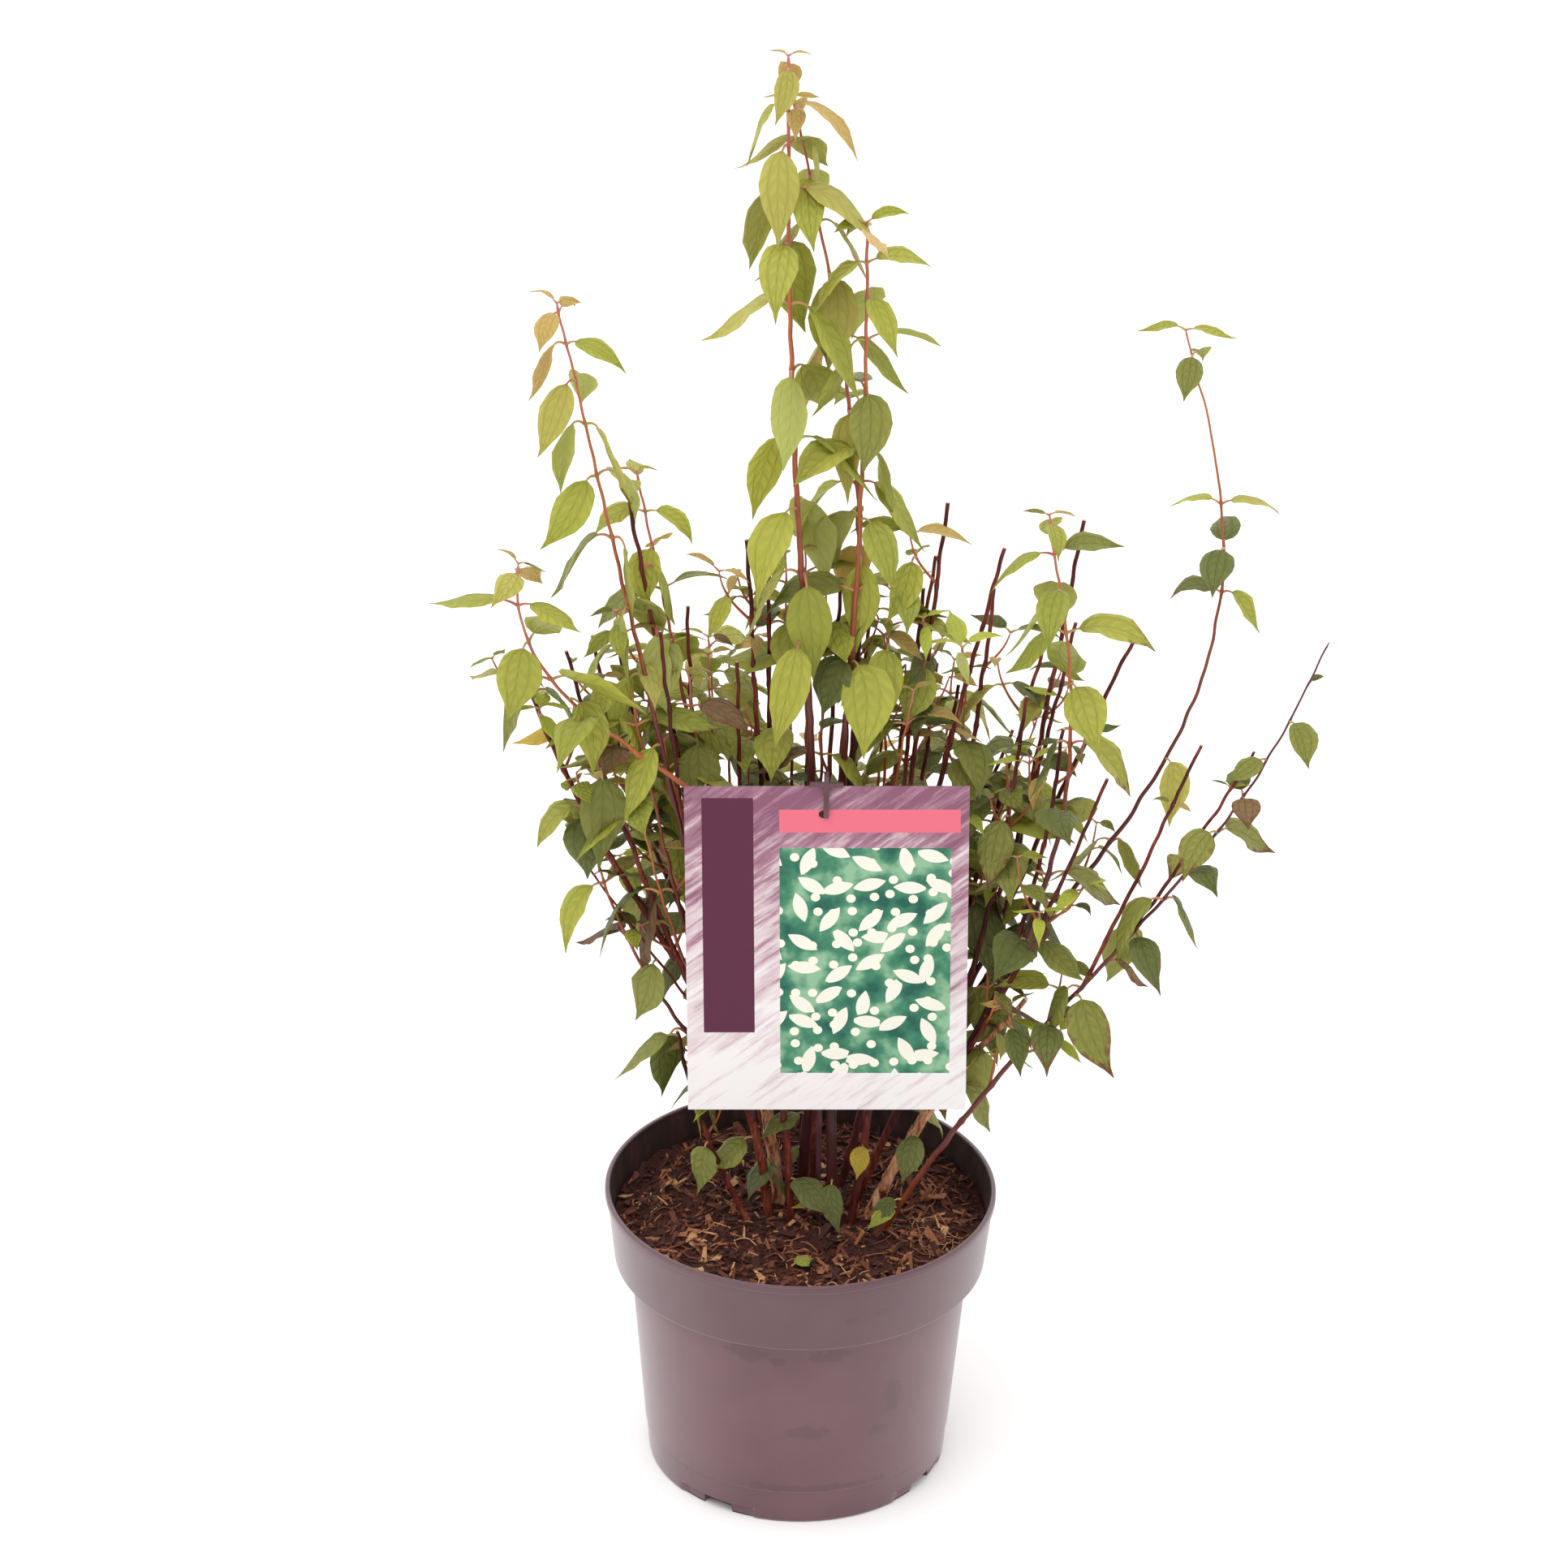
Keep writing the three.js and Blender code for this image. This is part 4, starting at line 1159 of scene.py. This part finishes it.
# The crown between them: each cane forks again by a seeded rule, into young
# leafy shoots and old tops cut back bare, over its own part of the crown and up
# to a rounded outline, some of them well short of it so that gaps stay open.
CROWN_TOP = 500
CROWN_HALF = 150
CROWN_DEEP = 100
CROWN_SIDE_DROP = 80
CROWN_BACK_DROP = 120
SHORTFALL = 115
SHORTFALL_LEAST = 10
SHORTFALL_BUNCHED = 1.3
OLD_TOP_SHARE = 0.55
OLD_TOP_RISE = (-70, 15)
OLD_TOP_BUDS = (25, 70)
OLD_TOP_LOW_BUDS = [250, 280]
OLD_TOP_BUD_GAP = 30
OLD_TOP_BUD_COUNT = 6
OLD_TOP_HALF = (1.35, 0.85)
OLD_TOP_SIZE = 43
SHOOT_SIZE = (40, 53)
SHOOT_GAPS = 0.27
SHOOT_LOW_BUDS = (150, 180, 210, 240)
SHOOT_PAIRS = (3, 4, 5)
SHOOT_NODES = (13, 1.35, 34)
SHOOT_CROWD = 5
SHOOT_HALF = (1.3, 0.45)
SHOOT_BARK = (0.85, 0.05)
FORK_CHANCE = 0.4
FORK_SHARE = (0.2, 0.8)
FORK_BOW = (0.02, 0.22)
FORK_LOW = 200
CROWN_PARTS = {  # cane: leaf group, forks, their tips to the right and to the back, heights of the forks
    "old_left": ("left", 6, (-118, -66), (-28, -4), (190, 260)),
    "tan_left": ("centre", 5, (-70, -20), (-4, 22), (200, 260)),
    "back_left": ("left", 4, (-108, -50), (12, 40), (200, 260)),
    "main": ("centre", 4, (-18, 18), (2, 26), (200, 270)),
    "second": ("centre", 4, (22, 60), (-12, 30), (200, 270)),
    "mid_right": ("centre", 4, (34, 78), (0, 36), (200, 270)),
    "dark_right": ("right", 5, (66, 130), (-6, 34), (190, 265)),
    "tan_right": ("right", 3, (90, 150), (-36, -4), (185, 240)),
}
REAR_PARTS = {
    "back_left": ("back", 5, (-100, -30), (68, 110), (190, 240)),
    "back": ("back", 4, (-26, 44), (96, 124), (190, 240)),
    "back_right": ("back", 5, (48, 118), (58, 106), (190, 240)),
}


def crown_height(right, back):
    """The outline's height over a place."""
    side_drop = CROWN_SIDE_DROP * (right / CROWN_HALF) ** 2
    return CROWN_TOP - side_drop - CROWN_BACK_DROP * max(0, back / CROWN_DEEP) ** 2


def fork_out(parent, part, draw):
    """All the forks of one cane, spread evenly over its part of the crown."""
    group, count, across, depth, heights = part
    for index in range(count):
        share = (index + draw.uniform(*FORK_SHARE)) / count
        right = across[0] + (across[1] - across[0]) * share
        back = draw.uniform(*depth)
        foot = fork(parent, draw.uniform(*heights))
        outward = np.array([right - foot[0], back - foot[1]])
        settings = {"bow": outward * draw.uniform(*FORK_BOW), "seed": draw.randint(1, 9999), "deal": "crown",
                    "low": FORK_LOW, "chance": FORK_CHANCE}
        name = "%s_%s_%d" % (group, parent, index)
        if draw.random() < OLD_TOP_SHARE:
            top = crown_height(right, back) + draw.uniform(*OLD_TOP_RISE)
            buds = [draw.uniform(*OLD_TOP_BUDS) + OLD_TOP_BUD_GAP * step for step in range(OLD_TOP_BUD_COUNT)]
            limb(name, group, foot, (right, back, top), OLD_TOP_HALF, "old", ages=OLD_AGES,
                 size=OLD_TOP_SIZE, buds=buds + OLD_TOP_LOW_BUDS, **settings)
        else:
            top = crown_height(right, back) - SHORTFALL_LEAST - SHORTFALL * draw.random() ** SHORTFALL_BUNCHED
            pairs = spaced(*SHOOT_NODES, draw.choice(SHOOT_PAIRS), SHOOT_CROWD)
            limb(name, group, foot, (right, back, top), SHOOT_HALF, ages=SHOOT_BARK, pairs=pairs,
                 size=draw.uniform(*SHOOT_SIZE), gaps=SHOOT_GAPS, first=-0.3, buds=SHOOT_LOW_BUDS, **settings)


crown_draw = random.Random(62)
for parts in (CROWN_PARTS, REAR_PARTS):
    for parent, part in parts.items():
        fork_out(parent, part, crown_draw)

# Sprouts: small leaves low down, straight from the canes over the compost.
SPROUT_HEIGHTS = (140, 192)
SPROUT_SIZES = (15, 32)
SPROUT_DROPS = (5, 70)
SPROUTS_EACH = 2
SPROUT_OUT = 1.6
sprout_draw = random.Random(8)
for parent in ("old_left", "tan_left", "main", "second", "dark_right", "tan_right", "low_right"):
    for _ in range(SPROUTS_EACH):
        place = np.array(fork(parent, sprout_draw.uniform(*SPROUT_HEIGHTS)))
        heading = sprout_draw.uniform(math.pi, 2 * math.pi)
        facing = np.array([math.cos(heading), math.sin(heading), 0.0])
        length, drop = sprout_draw.uniform(*SPROUT_SIZES), sprout_draw.uniform(*SPROUT_DROPS)
        one_leaf("centre", place, facing, SPROUT_OUT, length, drop, BUD_LEAF_ORDER, sprout_draw, "shade")

# Single leaves that stand out: large ones over the card's hook and beside its
# lower corner, a dark and two yellow ones near the compost, and one that fell.
SINGLE_LEAVES = [  # cane, height of the bud, chord (right, back, up), width, tone
    ("mid_left", 152, (20, -17, -12), 17, "deep"), ("mid_right", 171, (-3, -9, -15), 10, "gold"),
    ("second", 144, (-19, -13, -2), 8, "gold"), ("low_left", 176, (-6, -10, -24), 17, "olive"),
    ("low_left", 236, (-31, -8, -22), 17, "olive"), ("thin_low", 275, (-8, -9, -29), 20, "olive"),
    ("old_left", 352, (1, -14, -28), 22, "deep"), ("second", 432, (-14, -12, -26), 25, "deep"),
    ("inner_right_top", 424, (-9, -16, -26), 19, "green"), ("wand", 368, (5, -9, -31), 17, "khaki"),
    ("spray_left", 420, (14, -14, -32), 22, "green"),
]
SINGLE_WEAR = 0.1
FALLEN_LEAF = ((-4, -54, 134), (11, 7, 0.5), 9)
for cane, height, chord, width, tone in SINGLE_LEAVES:
    add_leaf("centre", fork(cane, height), chord, width, TONES[tone], sprout_draw, wear=SINGLE_WEAR)
bud, chord, width = FALLEN_LEAF
add_leaf("centre", bud, chord, width, TONES["green"], sprout_draw, wear=SINGLE_WEAR)

# Young bark: smooth and a little glossy, pink on this year's wood and
# orange-brown to maroon toward its foot, with fine streaks along it.
DRAWN_OUT = {"young": (1, 1, 0.15), "old": (1, 1, 0.12), "patch": (1, 1, 0.4), "peel": (1, 1, 0.22)}
STREAK_MM = 1.11
STREAK_SHARE = 0.3
STREAK_DEPTH_MM = 0.2
YOUNG_COLOURS = {"stops": [(0.02, "#b8746a"), (0.09, "#ab5c4b"), (0.16, "#b0622f"), (0.4, "#8c4422"),
                           (0.6, "#5f241c"), (0.95, "#3f1718")]}
young_bark, tree, shader, place = new_material("young_smooth_bark", Roughness=0.42, IOR=1.45)
age = add_node(tree, "Attribute", {"attribute_name": "age"}).outputs["Fac"]
drawn = add_node(tree, "Mapping", None, place, Scale=DRAWN_OUT["young"])
streak = add_node(tree, "TexNoise", None, drawn, Scale=1 / (STREAK_MM * MM), Detail=3)
streaked = add_node(tree, "Math", TIMES_PLUS, streak, STREAK_SHARE, age)
centred = add_node(tree, "Math", MINUS, streaked, STREAK_SHARE / 2)
feed(shader.inputs["Base Color"], add_node(tree, "ValToRGB", YOUNG_COLOURS, centred))
feed(shader.inputs["Normal"], add_node(tree, "Bump", None, Height=streak, Distance=STREAK_DEPTH_MM * MM,
                                       Strength=0.5))

# Old bark: maroon to purple-brown, duller, in broad patches with furrows along it.
FURROW_MM = 1.43
PATCH_MM = 16.7
FURROW_DEPTH_MM = 0.5
OLD_COLOURS = {"stops": [(0.35, "#2b0f0c"), (0.47, "#4f1a14"), (0.57, "#743023"), (0.7, "#9a6148")]}
old_bark, tree, shader, place = new_material("old_cane_bark", Roughness=0.55, IOR=1.45,
                                             Specular_IOR_Level=0.25)
drawn = add_node(tree, "Mapping", None, place, Scale=DRAWN_OUT["old"])
furrow = add_node(tree, "TexNoise", None, drawn, Scale=1 / (FURROW_MM * MM), Detail=5, Roughness=0.65)
drawn = add_node(tree, "Mapping", None, place, Scale=DRAWN_OUT["patch"])
patch = add_node(tree, "TexNoise", None, drawn, Scale=1 / (PATCH_MM * MM), Detail=2)
both = add_node(tree, "Math", TIMES, add_node(tree, "Math", PLUS, furrow, patch), 0.5)
feed(shader.inputs["Base Color"], add_node(tree, "ValToRGB", OLD_COLOURS, both))
feed(shader.inputs["Normal"], add_node(tree, "Bump", None, Height=furrow, Distance=FURROW_DEPTH_MM * MM,
                                       Strength=0.8))

# Peeling bark: tan and papery, dark in the splits between its strips.
PEEL_MM = 3.33
PEEL_DEPTH_MM = 1.2
PEEL_COLOURS = {"stops": [(0.36, "#4a1c11"), (0.42, "#8b4b30"), (0.47, "#b57b54"), (0.64, "#d6a780")]}
peeling_bark, tree, shader, place = new_material("peeling_tan_bark", Roughness=0.8, IOR=1.45)
drawn = add_node(tree, "Mapping", None, place, Scale=DRAWN_OUT["peel"])
strip = add_node(tree, "TexNoise", None, drawn, Scale=1 / (PEEL_MM * MM), Detail=5, Roughness=0.65)
feed(shader.inputs["Base Color"], add_node(tree, "ValToRGB", PEEL_COLOURS, strip))
feed(shader.inputs["Normal"], add_node(tree, "Bump", None, Height=strip, Distance=PEEL_DEPTH_MM * MM))

# Cut wood: the pale, dull end grain where old canes were shortened.
RING_MM = 0.67
cut_wood, tree, shader, place = new_material("cut_wood_end", Roughness=0.8, IOR=1.45)
ring = add_node(tree, "TexNoise", None, place, Scale=1 / (RING_MM * MM), Detail=2)
end_grain = add_node(tree, "ValToRGB", {"stops": [(0.3, "#b59a78"), (0.7, "#d8c4a4")]}, ring)
feed(shader.inputs["Base Color"], end_grain)

# Bark flakes: paper-thin strips that lift off the two peeling canes.
FLAKES = 90
FLAKE_ROWS = (2, 34)
FLAKE_LONG = (5, 15)
FLAKE_WIDE = (0.5, 1.3)
FLAKE_LIFT = (0.3, 1.6)
FLAKE_FOOT = 2.45
FLAKE_BEHIND = 0.3
FLAKE_NARROWS = 0.6
FLAKE_THICK = 0.25
FLAKE_STEPS = 5
flake_draw = random.Random(77)
for index in range(FLAKES):
    line = limbs["tan_left" if index % 2 else "tan_right"]
    row = flake_draw.randint(*FLAKE_ROWS)
    direction = line[row + 1] - line[row - 1]
    direction /= np.linalg.norm(direction)
    outward = pair_direction(direction, flake_draw.uniform(0, 360))
    sideways = np.cross(direction, outward)
    long, wide, lift = [flake_draw.uniform(*ends) for ends in (FLAKE_LONG, FLAKE_WIDE, FLAKE_LIFT)]
    corners = []
    for share in np.linspace(0, 1, FLAKE_STEPS):
        middle = line[row] + outward * (FLAKE_FOOT + lift * share ** 2)
        middle = middle + direction * long * (share - FLAKE_BEHIND)
        for a, b in ((-1, 0), (1, 0), (1, FLAKE_THICK), (-1, FLAKE_THICK)):
            corners.append(middle + sideways * wide * a * (1 - share * FLAKE_NARROWS) / 2 + outward * b)
    bark["peeling"].add(corners, tube_faces(FLAKE_STEPS, 4), 0, age=1.0)

cane_nodes = [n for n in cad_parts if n.startswith(("cane_", "bough_"))]
old_piece = bark["old"].piece("old_canes", [old_bark, cut_wood])
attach(old_piece, "root")
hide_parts(*cane_nodes)
young_piece = bark["young"].piece("young_shoots", [young_bark, young_bark])
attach(young_piece, "root")
peeling_piece = bark["peeling"].piece("peeling_canes", [peeling_bark, cut_wood])
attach(peeling_piece, "root")

# Leaf stalks: smooth, softly shining skin, green with a rosy blush.
BLUSH_MM = 16.7
BLUSH_COLOURS = {"stops": [(0.35, "#a0984c"), (0.5, "#b08256"), (0.65, "#a85c50")]}
stalk_skin, tree, shader, place = new_material("leaf_stalk_skin", Roughness=0.45, IOR=1.42)
blush = add_node(tree, "TexNoise", None, place, Scale=1 / (BLUSH_MM * MM), Detail=2)
feed(shader.inputs["Base Color"], add_node(tree, "ValToRGB", BLUSH_COLOURS, blush))
petiole_piece = petioles.piece("leaf_stalks", [stalk_skin])
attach(petiole_piece, "root")

# ---------------------------------------------------------------------------
# Leaf materials. Living leaf: thin, softly shining above, matt and paler
# below, quilted by sunken veins. The tone runs from lime through olive to deep
# green, with bronze tips and a few yellow or dried ones.

LIGHT_THROUGH_MM = 1.2
LIGHT_COLOURS = (1.0, 1.0, 0.25)
SIDE_VEINS = 6.5
VEIN_SLANT = 3.4
VEIN_WANDER = 0.5
VEIN_WANDER_MM = 5.26
VEIN_DEPTH_MM = 0.85
RIB_GROOVE = (0.4, 0.45)
MIDRIB_GROOVE = (0.03, 0.55)
ARCH_GROOVE = (0.05, 0.6)
ARCH_AT = 0.25
MOTTLE_MM = 9.1
MOTTLE_SHARE = 0.5
BLOTCH_MM = 3.85
VEIN_TINT = 0.5
WORN_TIP = 3
WORN_EDGE = 1.5
WORN_FROM = (0.26, 0.42)
WORN_COLOUR = "#65452c"
SMALLER = {"operation": "MINIMUM"}
EASED = {"interpolation_type": "SMOOTHSTEP"}


def leaf_material(name, base, light, vein, roughness, relief):
    """A leaf's face in one tone: mottled, with paler or darker sunken veins and worn brown edges."""
    made, tree, shader, place = new_material(
        name, Roughness=roughness, IOR=1.42, Specular_IOR_Level=0.25, Subsurface_Weight=0.35,
        Subsurface_Radius=LIGHT_COLOURS, Subsurface_Scale=LIGHT_THROUGH_MM * MM)
    shader.subsurface_method = "BURLEY"

    def sunken(distance, groove):
        """1 on the flesh, less down in a vein, by the distance from the vein's middle."""
        width, depth = groove
        soft = add_node(tree, "MapRange", EASED, distance, From_Max=width)
        return add_node(tree, "Math", TIMES_PLUS, soft, depth, 1 - depth)

    blade = add_node(tree, "SeparateXYZ", None, add_node(tree, "UVMap", {"uv_map": "UVMap"}))
    across, along = blade.outputs["X"], blade.outputs["Y"]
    side = add_node(tree, "Math", SIZE_OF, add_node(tree, "Math", MINUS, across, 0.5))
    wander = add_node(tree, "TexNoise", None, place, Scale=1 / (VEIN_WANDER_MM * MM), Detail=2)
    slant = add_node(tree, "Math", TIMES, side, -VEIN_SLANT)
    rows = add_node(tree, "Math", TIMES_PLUS, along, SIDE_VEINS, slant)
    rows = add_node(tree, "Math", TIMES_PLUS, wander, VEIN_WANDER, rows)
    ribs = sunken(add_node(tree, "Math", {"operation": "PINGPONG"}, rows, 0.5), RIB_GROOVE)
    midrib = sunken(side, MIDRIB_GROOVE)
    from_arch = add_node(tree, "Math", SIZE_OF, add_node(tree, "Math", MINUS, side, ARCH_AT))
    flesh = add_node(tree, "Math", SMALLER, midrib, sunken(from_arch, ARCH_GROOVE))
    flesh = add_node(tree, "Math", SMALLER, flesh, ribs)
    mottle = add_node(tree, "TexNoise", None, place, Scale=1 / (MOTTLE_MM * MM), Detail=4)
    tint = add_node(tree, "Attribute", {"attribute_name": "tint"}).outputs["Fac"]
    toned = add_node(tree, "Math", TIMES_PLUS, mottle, MOTTLE_SHARE, tint)
    colour = add_node(tree, "ValToRGB", {"stops": [(0.2, base), (1.1, light)]}, toned)
    over_vein = add_node(tree, "Math", TIMES_PLUS, flesh, VEIN_TINT, 1 - VEIN_TINT)
    veined = add_node(tree, "Mix", BLENDED, over_vein, vein, colour)
    wear = add_node(tree, "Attribute", {"attribute_name": "wear"}).outputs["Fac"]
    toward_tip = add_node(tree, "Math", {"operation": "POWER"}, along, WORN_TIP)
    edges = add_node(tree, "Math", TIMES_PLUS, side, WORN_EDGE, toward_tip)
    blotch = add_node(tree, "TexNoise", None, place, Scale=1 / (BLOTCH_MM * MM), Detail=3)
    worn = add_node(tree, "Math", TIMES, add_node(tree, "Math", TIMES, edges, blotch), wear)
    brown = add_node(tree, "MapRange", None, worn, *WORN_FROM)
    feed(shader.inputs["Base Color"], add_node(tree, "Mix", BLENDED, brown, veined, WORN_COLOUR))
    feed(shader.inputs["Normal"], add_node(tree, "Bump", None, Height=flesh, Distance=VEIN_DEPTH_MM * MM,
                                           Strength=relief))
    return made


leaf_materials = [
    leaf_material("leaf_lime", "#838634", "#94943c", "#757831", 0.5, 0.85),
    leaf_material("leaf_green", "#808435", "#92913f", "#727530", 0.5, 0.9),
    leaf_material("leaf_olive", "#686c31", "#7a7a3b", "#5c5f2d", 0.5, 0.9),
    leaf_material("leaf_deep", "#50572c", "#606436", "#474d28", 0.48, 0.9),
    leaf_material("leaf_bronze", "#9a8147", "#aa9159", "#86703f", 0.48, 0.6),
    leaf_material("leaf_gold", "#a18a32", "#b69b3e", "#8b782f", 0.5, 0.6),
    leaf_material("leaf_dried", "#5a4533", "#7a6146", "#493728", 0.75, 1.0),
    leaf_material("leaf_underside_pale", "#888c47", "#989b56", "#9c9f61", 0.7, 0.6),
    leaf_material("leaf_underside_rosy", "#a38955", "#b19667", "#b59b6d", 0.7, 0.5),
    leaf_material("leaf_underside_dull", "#797c42", "#8a8a4b", "#8e8e59", 0.7, 0.6),
    leaf_material("leaf_khaki", "#8e8740", "#9d974c", "#7c7638", 0.5, 0.7),
    leaf_material("leaf_fresh", "#949c3b", "#a6ab46", "#989b42", 0.5, 0.6),
]
RIM_SHARP_DEG = 70
GROUP_NODES = {
    "spires": ["leaves_spire_main", "leaves_spire_second"],
    "left": ["leaves_spire_left", "leaves_spray_left", "leaves_left", "leaves_low_left"],
    "centre": ["leaves_centre_left", "leaves_centre", "leaves_centre_right"],
    "right": ["leaves_spire_right", "leaves_right_low", "leaves_right_middle", "leaves_wand_tip",
              "leaves_wand_middle"],
    "low_right": ["leaves_wand_low", "leaves_low_right"],
    "back": ["leaves_back_left", "leaves_back", "leaves_back_right"],
}
for group, nodes in GROUP_NODES.items():
    leaves = foliage[group].piece("leaf_sprays_" + group, leaf_materials)
    finish_smooth(leaves, RIM_SHARP_DEG)
    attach(leaves, "root")
    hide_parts(*nodes)

# ---------------------------------------------------------------------------
# Stage, light and camera. A pale floor and a white surround, brighter behind the
# plant, with one soft box above it on the left. The camera looks down from the
# front and is rolled a little.

FLOOR_SIDE = 14.0
FRONT_GLOW = 0.86
BACK_GLOW = 1.6
GLOW_FROM = (-1, 0.4)
bpy.ops.object.select_all(action="DESELECT")
bpy.ops.mesh.primitive_plane_add(size=FLOOR_SIDE, location=(0, 0, 0))
floor = bpy.context.object
floor.name = "studio_floor"
floor_paint, tree, shader, place = new_material("pale_studio_floor", Roughness=0.9, Base_Color="#f4f3f2")
floor.data.materials.append(floor_paint)

world = bpy.data.worlds.new("studio_air")
bpy.context.scene.world = world
world.use_nodes = True
air = world.node_tree
sky = air.nodes["Background"]
heading = add_node(air, "SeparateXYZ", None, add_node(air, "TexCoord").outputs["Generated"]).outputs["Y"]
feed(sky.inputs["Color"], "#ffffff")
feed(sky.inputs["Strength"], add_node(air, "MapRange", None, heading, *GLOW_FROM, FRONT_GLOW, BACK_GLOW))


def soft_box(name, place, aim, size, watts):
    light = bpy.data.lights.new(name, "AREA")
    light.shape = "SQUARE"
    light.size = size
    light.energy = watts
    made = bpy.data.objects.new(name, light)
    made.location = place
    made.rotation_euler = (Vector(aim) - Vector(place)).to_track_quat("-Z", "Y").to_euler()
    bpy.context.scene.collection.objects.link(made)


SOFT_BOX_PLACE = (-0.4, -0.9, 2.2)
SOFT_BOX_AIM = (0, 0, 0.3)
SOFT_BOX_SIDE = 1.6
SOFT_BOX_WATTS = 22
soft_box("soft_box_top", SOFT_BOX_PLACE, SOFT_BOX_AIM, SOFT_BOX_SIDE, SOFT_BOX_WATTS)

CAMERA_PLACE = (-0.01103, -2.22965, 1.48458)
CAMERA_PITCH_DEG = 26.669
CAMERA_ROLL_DEG = 0.882
FOCAL_PIXELS = 6576
FRAME_PIXELS = 1932
SENSOR_MM = 36
FAR_CLIP = 50
camera_data = bpy.data.cameras.new("camera")
camera_data.sensor_width = SENSOR_MM
camera_data.lens = FOCAL_PIXELS / FRAME_PIXELS * SENSOR_MM
camera_data.clip_end = FAR_CLIP
camera = bpy.data.objects.new("camera", camera_data)
camera.location = CAMERA_PLACE
camera.rotation_mode = "XYZ"
pitch = math.radians(CAMERA_PITCH_DEG)
level = Vector((0, math.cos(pitch), -math.sin(pitch))).to_track_quat("-Z", "Y").to_matrix().to_4x4()
camera.rotation_euler = (level @ Matrix.Rotation(math.radians(CAMERA_ROLL_DEG), 4, "Z")).to_euler()
bpy.context.scene.collection.objects.link(camera)
bpy.context.scene.camera = camera
bpy.context.scene.view_settings.view_transform = "Standard"
